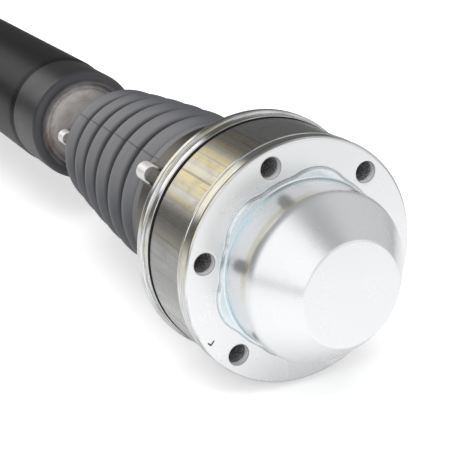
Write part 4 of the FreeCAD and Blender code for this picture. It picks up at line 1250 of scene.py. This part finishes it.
world = bpy.data.worlds.new("studio")
bpy.context.scene.world = world
world.use_nodes = True
studio = Graph(world.node_tree)
direction = studio.node("TexCoord", output="Generated")
x, y, z = studio.axes(direction)
beside_camera = (-y).ramp(0.05, 0.5) * x.ramp(-0.25, 0.15)
before_cap = x.ramp(0.45, 0.75) * (1 - beside_camera)
towards_back = x * BACK_WINDOW_AT[0] + y * BACK_WINDOW_AT[1] + z * BACK_WINDOW_AT[2]
behind_boot = towards_back.ramp(math.cos(WINDOW_EDGE), math.cos(WINDOW_BRIGHT))
behind_tube = (-x).ramp(0.25, 0.75)
walls = (WALL + (FAR_WALL - WALL) * y.ramp(0.05, 0.55)) * (1 - behind_tube) + DARK_WALL * behind_tube
windows = (SOFT_WINDOW - WALL) * beside_camera + CAP_WALL * before_cap + (BACK_WINDOW - WALL) * behind_boot
to_camera = studio.node("LightPath", output="Is Camera Ray")
background = world.node_tree.nodes["Background"].inputs
studio.put(background["Color"], colour(1, 1, 1))
studio.put(background["Strength"], to_camera + (1 - to_camera) * (walls + windows))
print("studio:", len(world.node_tree.nodes), "nodes")

# %% [markdown]
# ## Lamp and camera
#
# One large lamp over the shaft gives the soft shadow. It doesn't show in the mirrors, which already have
# their windows. The camera stands where the photograph was taken from, with a long lens, so the far end of
# the shaft runs out of the picture.

# %% Lamp and camera
def aim(thing, place, target):
    """Puts a lamp or camera at place, looking at target: local -Z points there and local Y up."""
    away = (Vector(place) - Vector(target)).normalized()
    right = Vector((0, 0, 1)).cross(away).normalized()
    turn = Matrix((right, away.cross(right), away)).transposed()
    thing.matrix_world = Matrix.Translation(place) @ turn.to_4x4()


def lamp(name, place, target, width, power):
    """A square lamp of a width in metres and a power in watts that mirrors don't show."""
    data = bpy.data.lights.new(name, "AREA")
    data.size, data.energy = width, power
    thing = bpy.data.objects.new(name, data)
    thing.visible_glossy = False
    bpy.context.scene.collection.objects.link(thing)
    aim(thing, place, target)


lamp("over", place=(0.15, -0.15, 1.2), target=(-0.1, 0, 0), width=1.2, power=11.0)

CAMERA_PLACE = Vector((365.87, -228.09, 173.70)) * MM
AZIMUTH, ELEVATION = math.radians(62.04), math.radians(20.16)
level = math.cos(ELEVATION)
back = Vector((math.sin(AZIMUTH) * level, -math.cos(AZIMUTH) * level, math.sin(ELEVATION)))
camera_data = bpy.data.cameras.new("camera")
camera_data.sensor_width = 36.0
camera_data.lens = 96.0
camera_data.clip_start = 0.01
camera = bpy.data.objects.new("camera", camera_data)
bpy.context.scene.collection.objects.link(camera)
aim(camera, CAMERA_PLACE, CAMERA_PLACE - back)
bpy.context.scene.camera = camera
bpy.context.scene.view_settings.view_transform = "Standard"
print("camera: %.0f mm lens, %.2f m from the front face" % (camera_data.lens, CAMERA_PLACE.length))

# %% Sizes and finish
boxes = {"cad": [list(corner) for corner in cad_box], "visual": [list(corner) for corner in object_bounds()]}
for name, (lowest, highest) in boxes.items():
    print(name, [round((b - a) / MM, 1) for a, b in zip(lowest, highest)], "mm")
